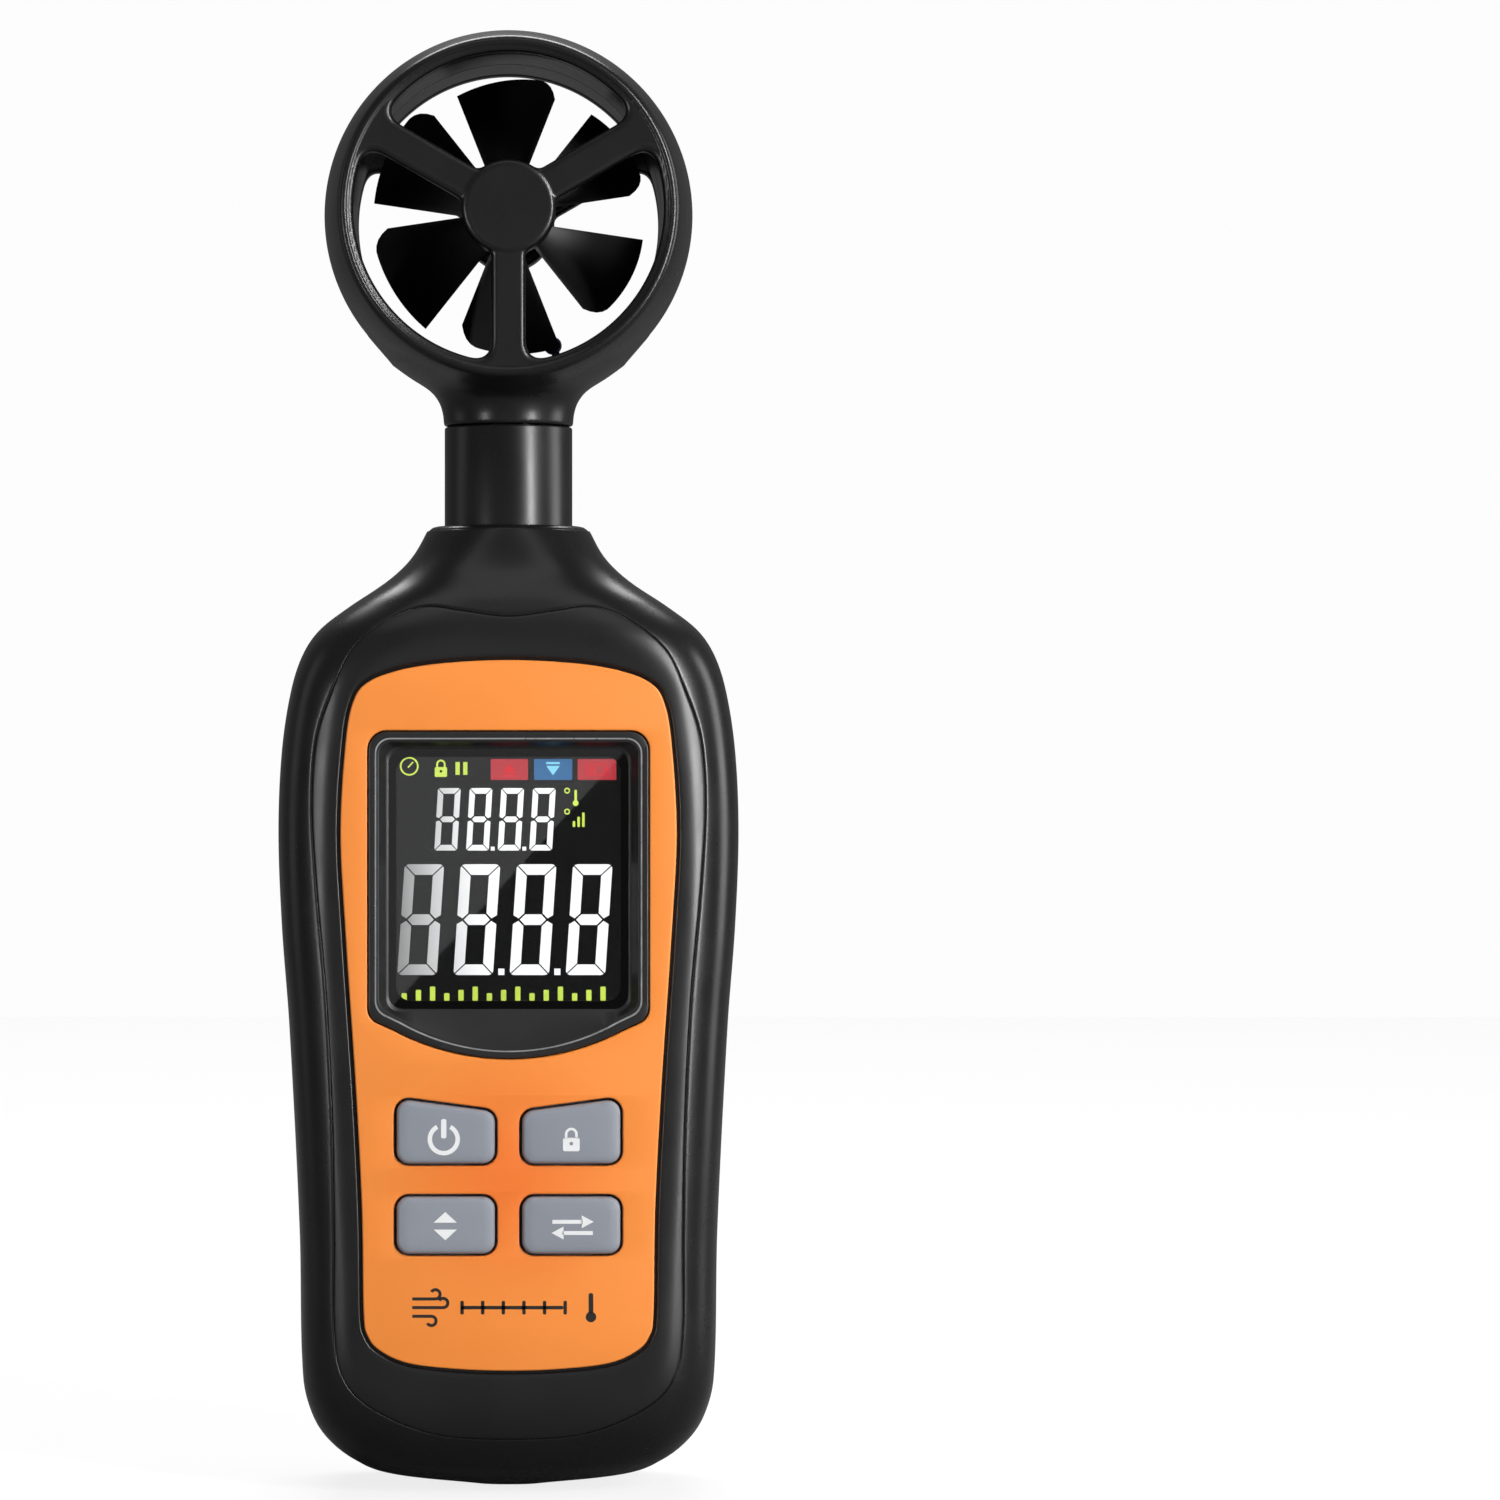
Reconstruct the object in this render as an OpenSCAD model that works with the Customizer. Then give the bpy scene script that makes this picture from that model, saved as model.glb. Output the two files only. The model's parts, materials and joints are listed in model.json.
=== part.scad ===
// Handheld vane thermo-anemometer, upright, front face towards -Y, bottom at z = 0.

/* [Body] */
// Height of the body up to the collar round the neck
body_height = 112.6; // [108:0.2:118]
// Width of the body at its widest
body_width = 54.4; // [52:0.2:58]
// How far the flat front face stands in front of the parting plane
front_reach = 15.6; // [15.4:0.1:16]
// How far the flat back stands behind the parting plane
back_reach = 16.7; // [16.5:0.1:17.2]
// Thickness of the soft skin moulded over the housings
skin = 1.2; // [1:0.1:1.4]
// Thickness of the housing wall under the skin
wall = 1.6; // [1.4:0.1:1.8]

/* [Neck] */
// Outer radius of the neck tube
neck_radius = 7.6; // [7.4:0.1:7.8]
// Height of the seam between the neck tube and the turning head
neck_seam = 125; // [124:0.2:126]

/* [Head] */
// Height of the impeller's axis
axis_height = 150.1; // [149.5:0.1:151]
// Outer radius of the head ring at mid-depth
ring_radius = 21.9; // [21.5:0.1:22.5]
// Depth of the head ring, lip to lip
ring_depth = 28; // [27:0.5:30]
// Radius of the duct's throat
throat_radius = 18.2; // [18:0.1:18.6]
// Radius of each arm frame's hub
spider_hub = 5.55; // [5:0.05:6]
// Width of an arm beside its hub
arm_width = 4; // [3:0.1:4.2]

/* [Impeller] */
// Number of blades
blade_count = 6; // [5:1:8]
// Radius at the blade tips
tip_radius = 16.3; // [15.5:0.1:17]
// Depth of the blades along the axis
blade_depth = 12; // [10:0.5:13]
// Angle that one blade spans, seen along the axis
blade_sweep = 44; // [34:1:46]
// Thickness of a blade
blade_thickness = 0.9; // [0.7:0.1:1.2]

/* [Display] */
// Half of the bezel's width
bezel_half = 16.3; // [16:0.1:16.6]
// Half of the visible window's width
window_half = 14; // [13.5:0.1:14.2]
// Lower edge of the visible window
window_low = 56.4; // [56:0.1:57]
// Upper edge of the visible window
window_high = 86.7; // [86:0.1:87]

/* [Buttons] */
// Half of the gap between the two columns of buttons
button_gap = 1.6; // [1.4:0.1:1.8]
// Outer edge of the buttons, from the middle
button_edge = 13; // [12.6:0.1:13.2]
// Travel of a button
button_travel = 0.6; // [0.4:0.1:0.6]

/* [Battery] */
// Radius of an AAA cell
cell_radius = 5.25; // [5.2:0.05:5.25]
// Length of an AAA cell, with its cap
cell_length = 44.5; // [44.5:0.1:44.5]
// Distance between neighbouring cells' axes
cell_pitch = 11.2; // [11:0.1:11.3]

/* [Hidden] */

$fn = 64;
front = -1;
rear = 1;
fit = 0.3; // gap round a piece that moves in an opening
slip = 0.05; // radial running clearance
shell = skin + wall;
big = 200;

// Rows of [height, value] along the nominal 112.6 mm body
nominal_height = 112.6;
half_width_rows = [
    [0, 5.4], [1, 14.4], [2.5, 18.2], [5, 21.3], [8, 23.2], [12.5, 24.3], [30, 24.7], [54, 25.9],
    [66, 26.8], [77, 27.2], [86.5, 26.8], [93.7, 25.7], [98, 24.3], [100.9, 22.3], [103.7, 18.7],
    [106.6, 14.4], [109.4, 11.5], [112.6, 9.7]
];
front_rows = [
    [0, 7], [1, 10], [3, 13], [8, 15.3], [16, 16.2], [94, 16.2], [100, 15.6], [104, 14],
    [108, 11.7], [112.6, 9.7]
];
rear_rows = [
    [0, 8], [1, 11.4], [3, 14.1], [8, 16.5], [16, 17.3], [90, 17.3], [98, 16.4], [103, 14.5],
    [108, 11.8], [112.6, 9.7]
];
power_rows = [[0, 2.6], [8, 4.2], [20, 5], [92, 5], [102, 3.8], [112.6, 2]];
levels = [
    0, 0.4, 1, 1.8, 3, 5, 8, 12, 18, 30, 44, 58, 68, 77, 84, 90, 94, 97, 99.5, 101.5, 103.5,
    105.5, 107.5, 109.5, 111.2, 112.6
];
section_steps = 16;

// Half outlines as [x, z], from the top centre down the right side to the bottom centre
field_half = [
    [0, 102.2], [5.5, 102.9], [9.8, 103.4], [14, 101.9], [18.3, 98.3], [20.6, 93.3], [22.4, 87.7],
    [22.9, 80], [22.3, 70], [21.2, 58], [20.5, 44], [20.3, 30], [20.3, 19], [19.4, 13.6], [16.2, 10],
    [9, 6.9], [0, 6.2]
];
fascia_half = [
    [0, 97.2], [8, 96.8], [13.2, 95.9], [16.6, 94.5], [18.2, 92.3], [19.1, 87.5], [19.7, 77],
    [19.1, 65], [17.9, 47], [17.2, 33], [17, 21], [16.5, 18.3], [15.1, 16.6], [11.8, 15.1], [6, 14.4],
    [0, 14.2]
];

fascia_face = -front_reach - 0.3;
recess_floor = -front_reach + 0.9;
inner_front = -front_reach + shell;
button_face = fascia_face - 0.8;
bezel_face = fascia_face - 0.2;
chin_drop = 4.7;
chin_half = 15.6;
bezel_top = 88.75;
bezel_corner = 55.4;
window_face = recess_floor + 0.1;
window_thickness = 1.2;
lcd_half = 17;
lcd_low = 53.6;
lcd_high = 89.4;
lcd_front = inner_front + 0.1;
lcd_thickness = 2;
backlight_thickness = 2;
board_front = -7.6;
board_thickness = 1.6;
board_back = board_front + board_thickness;
board_half = 17.4;
board_low = 14.6;
board_high = 96.4;
board_posts = [[-14, 23], [14, 23], [-13, 94], [13, 94]];
board_post = 2.2;
board_pilot = 0.8;

// Corners of the right-hand buttons as [x, z], anticlockwise
upper_button = [[button_gap, 38.5], [button_edge, 38.5], [button_edge, 46], [button_gap, 44.5]];
lower_button = [[button_gap, 28], [button_edge, 28], [button_edge, 34.6], [button_gap, 34.6]];
button_radius = 1.4;
flange_out = 0.7;
flange_thickness = 1;
button_back = lcd_front + flange_thickness;
switch_x = (button_gap + button_edge) / 2;
upper_switch = 41.8;
lower_switch = 31.3;
switch_size = 6;
switch_height = 2.7;
plunger_radius = 1.7;
plunger_length = 3;

door_half = 17.9;
door_low = 14.7;
door_high = 67.3;
door_thickness = 1.6;
door_inner = back_reach - door_thickness;
door_edge = door_thickness / 2; // radius of the door's lower edge, round about its hinge axis
hinge_y = back_reach - door_edge;
hinge_z = door_low + door_edge;
door_tabs = 13;
tab_width = 3.4;
tab_reach = 1;
tab_thickness = 0.8;
grip_depth = 0.5;
grip_half = 6;
grip_count = 5;
grip_low = 57;
grip_pitch = 1.6;
notch_half = 4;
notch_depth = 0.9;
bay_half = 17;
bay_low = 15.4;
bay_high = 66.6;
bay_floor = 3.7;
bay_wall = 1.2;
cell_y = door_inner - 0.7 - cell_radius;
outer_cell_low = bay_high - 0.7 - cell_length;
middle_cell_low = bay_low + 0.7;
cap_height = 1;
plate = 0.5;
lead_radius = 0.6;
coil_turns = 3.5;
coil_sides = 6;
coil_steps = 42;
wire = 0.3;
lead_places = [[-9, bay_high - 0.7], [9, bay_low + 0.7]];
screw_places = [[-9, 10.4], [9, 10.4], [-20.2, 79], [20.2, 79]];
screw_post = 2.2;
screw_head_y = back_reach - 2.4;
screw_tip = -10.4;
screw_radius = 1;

flange_low = 101;
flange_high = 103.2;
saddle_top = 108.3;
flange_radius = 9;
spigot_radius = 5.6;
spigot_bore = 3.6;
catch_low = neck_seam + 2.7;
catch_high = catch_low + 1.5;
catch_radius = 6.8;
groove_z = neck_seam + 1.5;
o_ring_wire = 0.55;
cable_radius = 1.3;

half_depth = ring_depth / 2;
lip_outer = ring_radius - 2.1;
lip_inner = throat_radius + 0.6;
arm_rim_width = 5;
arm_thickness = 2.4;
arm_face = half_depth - 0.3;
hub_inner = half_depth - 4.4;
bearing_radius = 1.8;
bearing_length = 2.6;
shaft_radius = 0.75;
hub_radius = 4;
hub_half = 6.8;
magnet_radius = 3;
tip_trim = 1.6; // how much shorter a blade is at its front corner
magnet_low = hub_half - 1.4;
arm_angles = [30, 150, 270];
// Collar's rows of [height above its foot, radius]
flare = [[0, 7.67], [1.6, 7.85], [3, 8.35], [4.4, 9.5], [5.9, 11.7], [7.3, 13.6]];
flare_height = 7.3;
flare_foot = neck_seam + 0.1;
bead_turn = -20; // turn of the thermistor from straight down
bead_y = 9.8;
bead_radius = 1.1;
lead_y = half_depth - 2.3;
lead_turn = -19.4;

// ---- functions ----

// Value at z between the rows of a table, on a smooth curve through them
function slope(rows, i) =
    let (a = rows[max(i - 1, 0)], b = rows[min(i + 1, len(rows) - 1)])
    (b[1] - a[1]) / (b[0] - a[0]);
function span_of(rows, z, i = 0) = i >= len(rows) - 2 || z <= rows[i + 1][0] ? i : span_of(rows, z, i + 1);
function on_curve(rows, z) =
    let (i = span_of(rows, z), a = rows[i], b = rows[i + 1], h = b[0] - a[0], t = (z - a[0]) / h)
    a[1] * (2 * t ^ 3 - 3 * t ^ 2 + 1) + b[1] * (3 * t ^ 2 - 2 * t ^ 3)
    + h * slope(rows, i) * (t ^ 3 - 2 * t ^ 2 + t) + h * slope(rows, i + 1) * (t ^ 3 - t ^ 2);

function power(v, p) = sign(v) * pow(abs(v), p);
// One half section of the body at nominal height z, shrunk all round by inset
function half_section(z, inset, side) =
    let (
        w = max(on_curve(half_width_rows, z) * body_width / 54.4 - inset, 1),
        d = max(on_curve(side == front ? front_rows : rear_rows, z) - inset, 1),
        flat = (side == front ? front_reach : back_reach) - inset,
        e = 2 / on_curve(power_rows, z),
        h = (inset + z / nominal_height * (nominal_height - 2 * inset)) * body_height / nominal_height
    )
    [for (k = [0:section_steps]) let (a = 180 * k / section_steps)
        [w * power(cos(a), e), side * min(d * power(sin(a), e), flat), h]];

// Closed smooth outline through a half outline and its mirror image
function mirrored(half) = concat(half, [for (i = [len(half) - 2:-1:1]) [-half[i][0], half[i][1]]]);
function at(list, i) = list[(i + len(list)) % len(list)];
function bend(p, q, r, s, t) =
    0.5 * (2 * q + (r - p) * t + (2 * p - 5 * q + 4 * r - s) * t ^ 2 + (3 * q - 3 * r + s - p) * t ^ 3);
function smooth(points, steps = 4) =
    [for (i = [0:len(points) - 1]) for (k = [0:steps - 1])
        bend(at(points, i - 1), points[i], at(points, i + 1), at(points, i + 2), k / steps)];

// Polygon with each corner replaced by an arc
function unit(v) = v / norm(v);
function corner(a, b, c, r, steps) =
    let (
        u = unit(a - b), v = unit(c - b), half = acos(u * v) / 2,
        centre = b + unit(u + v) * r / sin(half),
        from = b + u * r / tan(half) - centre, to = b + v * r / tan(half) - centre,
        turn = atan2(from[0] * to[1] - from[1] * to[0], from * to)
    )
    [for (k = [0:steps]) let (t = turn * k / steps)
        centre + [from[0] * cos(t) - from[1] * sin(t), from[0] * sin(t) + from[1] * cos(t)]];
function rounded(points, r, steps = 6) =
    [for (i = [0:len(points) - 1]) each corner(at(points, i - 1), points[i], at(points, i + 1), r, steps)];
function grown(points, by) =
    let (mid = (points[0] + points[2]) / 2)
    [for (p = points) [p[0] + by * sign(p[0] - mid[0]), p[1] + by * sign(p[1] - mid[1])]];
function flipped(points) = [for (i = [len(points) - 1:-1:0]) [-points[i][0], points[i][1]]];

// Bezel outline: straight top and sides, chin on an arc
function bezel_outline(by) =
    let (
        w = bezel_half + by, low = bezel_corner - by, c = chin_half + by,
        r = (c * c + chin_drop * chin_drop) / (2 * chin_drop), arc = asin(c / r)
    )
    concat(
        corner([w, low], [w, bezel_top + by], [-w, bezel_top + by], 2.2, 6),
        corner([w, bezel_top + by], [-w, bezel_top + by], [-w, low], 2.2, 6),
        [for (k = [0:16]) let (a = -arc + 2 * arc * k / 16)
            [r * sin(a), low - chin_drop + r - r * cos(a)]]
    );

// ---- helpers ----

module along_y(y0, y1) translate([0, y1, 0]) rotate([90, 0, 0]) linear_extrude(y1 - y0) children();
module rod_y(x, z, r, y0, y1) translate([x, y1, z]) rotate([90, 0, 0]) cylinder(h = y1 - y0, r = r);
module rod_x(x, y, z, r, half) translate([x - half, y, z]) rotate([0, 90, 0]) cylinder(h = 2 * half, r = r);
module block(x0, x1, y0, y1, z0, z1) translate([x0, y0, z0]) cube([x1 - x0, y1 - y0, z1 - z0]);
module on_axis() translate([0, 0, axis_height]) children();
// Profile in [radius, y] turned about the impeller's axis
module about_axis() on_axis() rotate([-90, 0, 0]) rotate_extrude() children();

// Half of the body as one solid, shrunk all round by inset
module half_body(side, inset) {
    n = section_steps + 1;
    rings = len(levels);
    points = [for (z = levels) each half_section(z, inset, side)];
    walls = [for (i = [0:rings - 2]) for (k = [0:n - 1])
        let (a = i * n + k, b = i * n + (k + 1) % n) each [[a, b, b + n], [a, b + n, a + n]]];
    caps = [[for (k = [n - 1:-1:0]) k], [for (k = [0:n - 1]) (rings - 1) * n + k]];
    faces = concat(walls, caps);
    polyhedron(points, side == front ? faces : [for (f = faces) [for (i = [len(f) - 1:-1:0]) f[i]]]);
}
module field(y0, y1) along_y(y0, y1) polygon(smooth(mirrored(field_half)));
// Ring of wall that holds the neck tube above its flange
module saddle(y0, y1) intersection() {
    translate([0, 0, flange_high + 0.1]) cylinder(h = saddle_top - flange_high, r = 9.4);
    block(-big, big, y0, y1, 0, big);
}
module neck_hole() translate([0, 0, flange_low - 1]) cylinder(h = 20, r = neck_radius + slip);

// ---- housings ----

module front_housing() color("#262626") difference() {
    union() {
        difference() {
            union() {
                half_body(front, skin);
                intersection() {
                    half_body(front, 0);
                    field(-big, inner_front);
                }
            }
            half_body(front, shell);
        }
        for (p = board_posts) rod_y(p[0], p[1], board_post, inner_front - 0.5, board_front);
        for (p = screw_places) rod_y(p[0], p[1], screw_post, inner_front - 0.5, 0);
        saddle(-big, 0);
    }
    along_y(-big, recess_floor) polygon(smooth(mirrored(fascia_half)));
    along_y(-big, 0) polygon(rounded([
        [-window_half - 0.4, window_low - 0.4], [window_half + 0.4, window_low - 0.4],
        [window_half + 0.4, window_high + 0.4], [-window_half - 0.4, window_high + 0.4]], 1.7));
    for (b = [upper_button, lower_button, flipped(upper_button), flipped(lower_button)])
        along_y(-big, inner_front + 0.5) polygon(rounded(grown(b, fit), button_radius));
    for (p = board_posts) rod_y(p[0], p[1], board_pilot, board_front - 4, 1);
    for (p = screw_places) rod_y(p[0], p[1], screw_radius, screw_tip - 0.4, 1);
    neck_hole();
}

module front_overmould() color("#1d1d1d") difference() {
    half_body(front, 0);
    half_body(front, skin);
    field(-big, 0.5 * inner_front);
    neck_hole();
}

module rear_housing() color("#262626") difference() {
    union() {
        difference() {
            union() {
                half_body(rear, skin);
                intersection() {
                    half_body(rear, 0);
                    field(back_reach - shell, big);
                }
            }
            half_body(rear, shell);
        }
        block(-bay_half - bay_wall, bay_half + bay_wall, bay_floor - bay_wall, door_inner - 0.2,
            bay_low - bay_wall, bay_high + bay_wall);
        for (p = screw_places) rod_y(p[0], p[1], screw_post, 0, back_reach - shell + 0.5);
        saddle(0, big);
    }
    block(-bay_half, bay_half, bay_floor, big, bay_low, bay_high);
    block(-door_half - fit, door_half + fit, door_inner - 0.2, big, door_low - fit, door_high + fit);
    for (s = [-1, 1]) intersection() {
        rod_x(s * door_tabs, hinge_y, hinge_z, door_edge + tab_reach + 0.45, tab_width / 2 + fit);
        block(-big, big, 0, hinge_y + fit, 0, bay_low + 1);
    }
    block(-notch_half, notch_half, back_reach - notch_depth, big, door_high - 1, door_high + 2.4);
    for (p = lead_places) rod_y(p[0], p[1], lead_radius + 0.2, -1, bay_floor + 1);
    for (p = screw_places) {
        rod_y(p[0], p[1], screw_radius + 0.2, -1, back_reach);
        rod_y(p[0], p[1], 2.5, screw_head_y - 1.4, back_reach + 1);
    }
    neck_hole();
}

module rear_overmould() color("#1d1d1d") difference() {
    half_body(rear, 0);
    half_body(rear, skin);
    field(-0.5 * inner_front, big);
    neck_hole();
}

module housing_screws() color("silver") for (p = screw_places) {
    rod_y(p[0], p[1], screw_radius - 0.05, screw_tip, screw_head_y - 1);
    difference() {
        rod_y(p[0], p[1], 2.1, screw_head_y - 1.4, screw_head_y);
        rod_y(p[0], p[1], 0.9, screw_head_y - 0.8, screw_head_y + 1);
    }
}

// ---- front panel and display ----

module fascia_panel() color("#ff9347") difference() {
    along_y(fascia_face, recess_floor) offset(delta = -0.1) polygon(smooth(mirrored(fascia_half)));
    along_y(-big, 0) polygon(bezel_outline(0.1));
    for (b = [upper_button, lower_button, flipped(upper_button), flipped(lower_button)])
        along_y(-big, 0) polygon(rounded(grown(b, fit), button_radius));
}

module window_shape(by) polygon(rounded([
    [-window_half - by, window_low - by], [window_half + by, window_low - by],
    [window_half + by, window_high + by], [-window_half - by, window_high + by]], 1.7));

module display_bezel() color("#101010") difference() {
    along_y(bezel_face, recess_floor) polygon(bezel_outline(0));
    along_y(-big, 0) window_shape(0);
}

module display_window() color([0.2, 0.22, 0.24, 0.4])
    along_y(window_face, window_face + window_thickness) window_shape(0.3);

module display_gasket() color("#303030") difference() {
    along_y(window_face + window_thickness, lcd_front) window_shape(0.3);
    along_y(-big, 0) window_shape(-0.9);
}

module lcd_panel() color("#151515")
    block(-lcd_half, lcd_half, lcd_front, lcd_front + lcd_thickness, lcd_low, lcd_high);

module lcd_backlight() color("ivory") {
    back = lcd_front + lcd_thickness + 0.1;
    block(-lcd_half + 0.5, lcd_half - 0.5, back, back + backlight_thickness, lcd_low + 0.5, lcd_high - 0.5);
}

module lcd_holder() color("#3a3a3a") difference() {
    block(-lcd_half - 0.9, lcd_half + 0.9, lcd_front + 0.6, board_front, lcd_low - 0.9, lcd_high + 0.9);
    block(-lcd_half - 0.1, lcd_half + 0.1, -big, 0, lcd_low - 0.1, lcd_high + 0.1);
}

// ---- electronics ----

module circuit_board() color("darkgreen") difference() {
    block(-board_half, board_half, board_front, board_back, board_low, board_high);
    for (p = board_posts) rod_y(p[0], p[1], 1.1, board_front - 1, board_back + 1);
}

module board_chips() color("#1a1a1a") {
    block(-5, 5, board_back, board_back + 1.6, 48, 58);
    block(6.5, 11.5, board_back, board_back + 1.4, 61, 65);
    block(-12, -8, board_back, board_back + 1.4, 60, 63);
    block(-2.4, 2.4, board_back, board_back + 2.4, 62, 64);
    rod_y(11, 52, 2.5, board_back, board_back + 5.4);
}

module board_connector() color("ivory") difference() {
    block(-4, 4, board_back, board_back + 4.6, 88.5, 93.5);
    block(-3.2, 3.2, board_back + 1, board_back + 3.8, 89.6, 94);
}

module buzzer() color("#202020") difference() {
    rod_y(0, 77, 6, board_back, board_back + 5);
    rod_y(0, 77, 1, board_back + 3.6, board_back + 6);
}

module board_screws() color("silver") for (p = board_posts) {
    rod_y(p[0], p[1], 0.75, board_front - 3.6, board_back + 0.6);
    difference() {
        rod_y(p[0], p[1], 1.8, board_back, board_back + 1.2);
        rod_y(p[0], p[1], 0.7, board_back + 0.6, board_back + 2);
    }
}

module switch_at(x, z) {
    s = switch_size / 2;
    difference() {
        block(x - s, x + s, board_front - switch_height, board_front, z - s, z + s);
        rod_y(x, z, plunger_radius + slip, board_front - switch_height - 1, board_front - 0.2);
    }
}
module switch_bodies() color("#2b2b2b") for (x = [-switch_x, switch_x]) {
    switch_at(x, upper_switch);
    switch_at(x, lower_switch);
}

// ---- buttons ----

module button(shape) color("#939aa5") {
    along_y(button_face, lcd_front) polygon(rounded(shape, button_radius));
    along_y(lcd_front, button_back) polygon(rounded(grown(shape, flange_out), button_radius));
}
module plunger(x, z) color("white")
    rod_y(x, z, plunger_radius, button_back, button_back + plunger_length);

module button_power() button(flipped(upper_button));
module button_hold() button(upper_button);
module button_min_max() button(flipped(lower_button));
module button_units() button(lower_button);
module plunger_power() plunger(-switch_x, upper_switch);
module plunger_hold() plunger(switch_x, upper_switch);
module plunger_min_max() plunger(-switch_x, lower_switch);
module plunger_units() plunger(switch_x, lower_switch);

// ---- battery bay ----

module cell(x, z, up) color("seagreen") {
    can = cell_length - cap_height;
    translate([x, cell_y, up ? z : z + cap_height]) cylinder(h = can, r = cell_radius);
    translate([x, cell_y, up ? z + can : z]) cylinder(h = cap_height, r = 1.9);
}
module battery_cell_left() cell(-cell_pitch, outer_cell_low, true);
module battery_cell_middle() cell(0, middle_cell_low, false);
module battery_cell_right() cell(cell_pitch, outer_cell_low, true);

// Coil as one swept tube between two heights
module coil(x, z0, z1) {
    points = [for (i = [0:coil_steps]) let (t = i / coil_steps, a = 360 * coil_turns * t, r = 3.8 - 1.4 * t)
        for (k = [0:coil_sides - 1]) let (b = 360 * k / coil_sides, q = r + wire * cos(b))
            [q * cos(a), q * sin(a), z0 + (z1 - z0) * t + wire * sin(b)]];
    walls = [for (i = [0:coil_steps - 1]) for (k = [0:coil_sides - 1])
        let (a = i * coil_sides + k, b = i * coil_sides + (k + 1) % coil_sides)
        each [[a, b + coil_sides, b], [a, a + coil_sides, b + coil_sides]]];
    caps = [[for (k = [0:coil_sides - 1]) k],
        [for (k = [coil_sides - 1:-1:0]) coil_steps * coil_sides + k]];
    translate([x, cell_y, 0]) polyhedron(points, concat(walls, caps));
}
module battery_springs() color("gainsboro") {
    for (s = [-1, 1]) coil(s * cell_pitch, bay_low + 0.95, outer_cell_low - 0.35);
    translate([0, 0, bay_high + bay_low]) mirror([0, 0, 1])
        coil(0, bay_low + 0.95, bay_high + bay_low - middle_cell_low - cell_length - 0.35);
}

// Plates in the bay's ends: two single ones, and two that join neighbouring cells in series
module battery_contacts() color("gainsboro") {
    y0 = cell_y - 4;
    y1 = cell_y + 4;
    low = bay_low + 0.1;
    high = bay_high - 0.1 - plate;
    block(-cell_pitch - 4.2, 4.2, y0, y1, low, low + plate);
    block(cell_pitch - 4.2, cell_pitch + 4.2, y0, y1, low, low + plate);
    block(-cell_pitch - 4.2, -cell_pitch + 4.2, y0, y1, high, high + plate);
    block(-4.2, cell_pitch + 4.2, y0, y1, high, high + plate);
}

module battery_leads() for (p = lead_places) color(p[0] < 0 ? "firebrick" : "#202020")
    rod_y(p[0], p[1], lead_radius, board_back, cell_y - 4);

module battery_door() color("#262626") difference() {
    union() {
        intersection() {
            half_body(rear, 0);
            along_y(door_inner, back_reach) polygon(rounded([[-door_half, door_low],
                [door_half, door_low], [door_half, door_high], [-door_half, door_high]], 1.5));
            union() {
                rod_x(0, hinge_y, hinge_z, door_edge, door_half + 1);
                block(-big, big, 0, big, hinge_z, big);
            }
        }
        for (s = [-1, 1])
            block(s * door_tabs - tab_width / 2, s * door_tabs + tab_width / 2,
                door_inner, door_inner + tab_thickness, door_low - tab_reach, hinge_z);
    }
    for (k = [0:grip_count - 1])
        block(-grip_half, grip_half, back_reach - grip_depth, big,
            grip_low + grip_pitch * k, grip_low + grip_pitch * (k + 0.5));
}

module door_pad() color("#404040") block(-15, 15, door_inner - 0.6, door_inner, 36, 48);

// ---- neck ----

module neck_tube() color("#242424") rotate_extrude() polygon([
    [6.1, flange_low], [flange_radius, flange_low], [flange_radius, flange_high],
    [neck_radius, flange_high], [neck_radius, neck_seam], [spigot_radius, neck_seam],
    [spigot_radius, groove_z - o_ring_wire], [spigot_radius - 1.1, groove_z - o_ring_wire],
    [spigot_radius - 1.1, groove_z + o_ring_wire], [spigot_radius, groove_z + o_ring_wire],
    [spigot_radius, catch_low], [catch_radius, catch_low], [catch_radius, catch_high],
    [spigot_bore, catch_high], [spigot_bore, 120], [6.1, 117]]);

module neck_o_ring() color("#101010") rotate_extrude()
    translate([spigot_radius + 0.02 - o_ring_wire, groove_z]) circle(o_ring_wire);

module sensor_cable() color("#303030") {
    translate([0, 0, 98.6]) cylinder(h = catch_high - 98.6, r = cable_radius);
    block(-3, 3, board_back + 1.2, board_back + 3.6, 91, 93.4);
    translate([0, board_back + 2.4, 93.4]) cylinder(h = 3.4, r = 1);
    hull() {
        translate([0, board_back + 2.4, 96.4]) cylinder(h = 0.6, r = 1, $fn = 32);
        translate([0, 0, 98.4]) cylinder(h = 0.6, r = 1, $fn = 32);
    }
}

// ---- head ----

// Whole ring in [radius, y], its outside a barrel arc from lip to lip
module ring_profile() {
    bulge = (half_depth ^ 2 + 2.1 ^ 2) / 4.2;
    reach = asin((half_depth - 0.8) / bulge);
    outer = [for (k = [-12:12]) let (a = reach * k / 12)
        [ring_radius - bulge + bulge * cos(a), bulge * sin(a)]];
    polygon(concat(
        [[throat_radius, -half_depth + 4], [lip_inner - 0.2, -half_depth + 1.6],
            [lip_inner, -half_depth + 0.2], [lip_outer - 0.6, -half_depth]],
        outer,
        [[lip_outer - 0.6, half_depth], [lip_inner, half_depth - 0.2],
            [lip_inner - 0.2, half_depth - 1.6], [throat_radius, half_depth - 4]]));
}
// Collar that flares from the neck seam into the ring
module collar() intersection() {
    rotate_extrude() polygon(concat(
        [[0, flare_foot]],
        [for (k = [0:14]) let (z = flare_height * k / 14) [on_curve(flare, z), flare_foot + z]],
        [[0, flare_foot + flare_height]]));
    block(-big, big, -half_depth + 4.2, half_depth - 4.2, 0, big);
}

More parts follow.
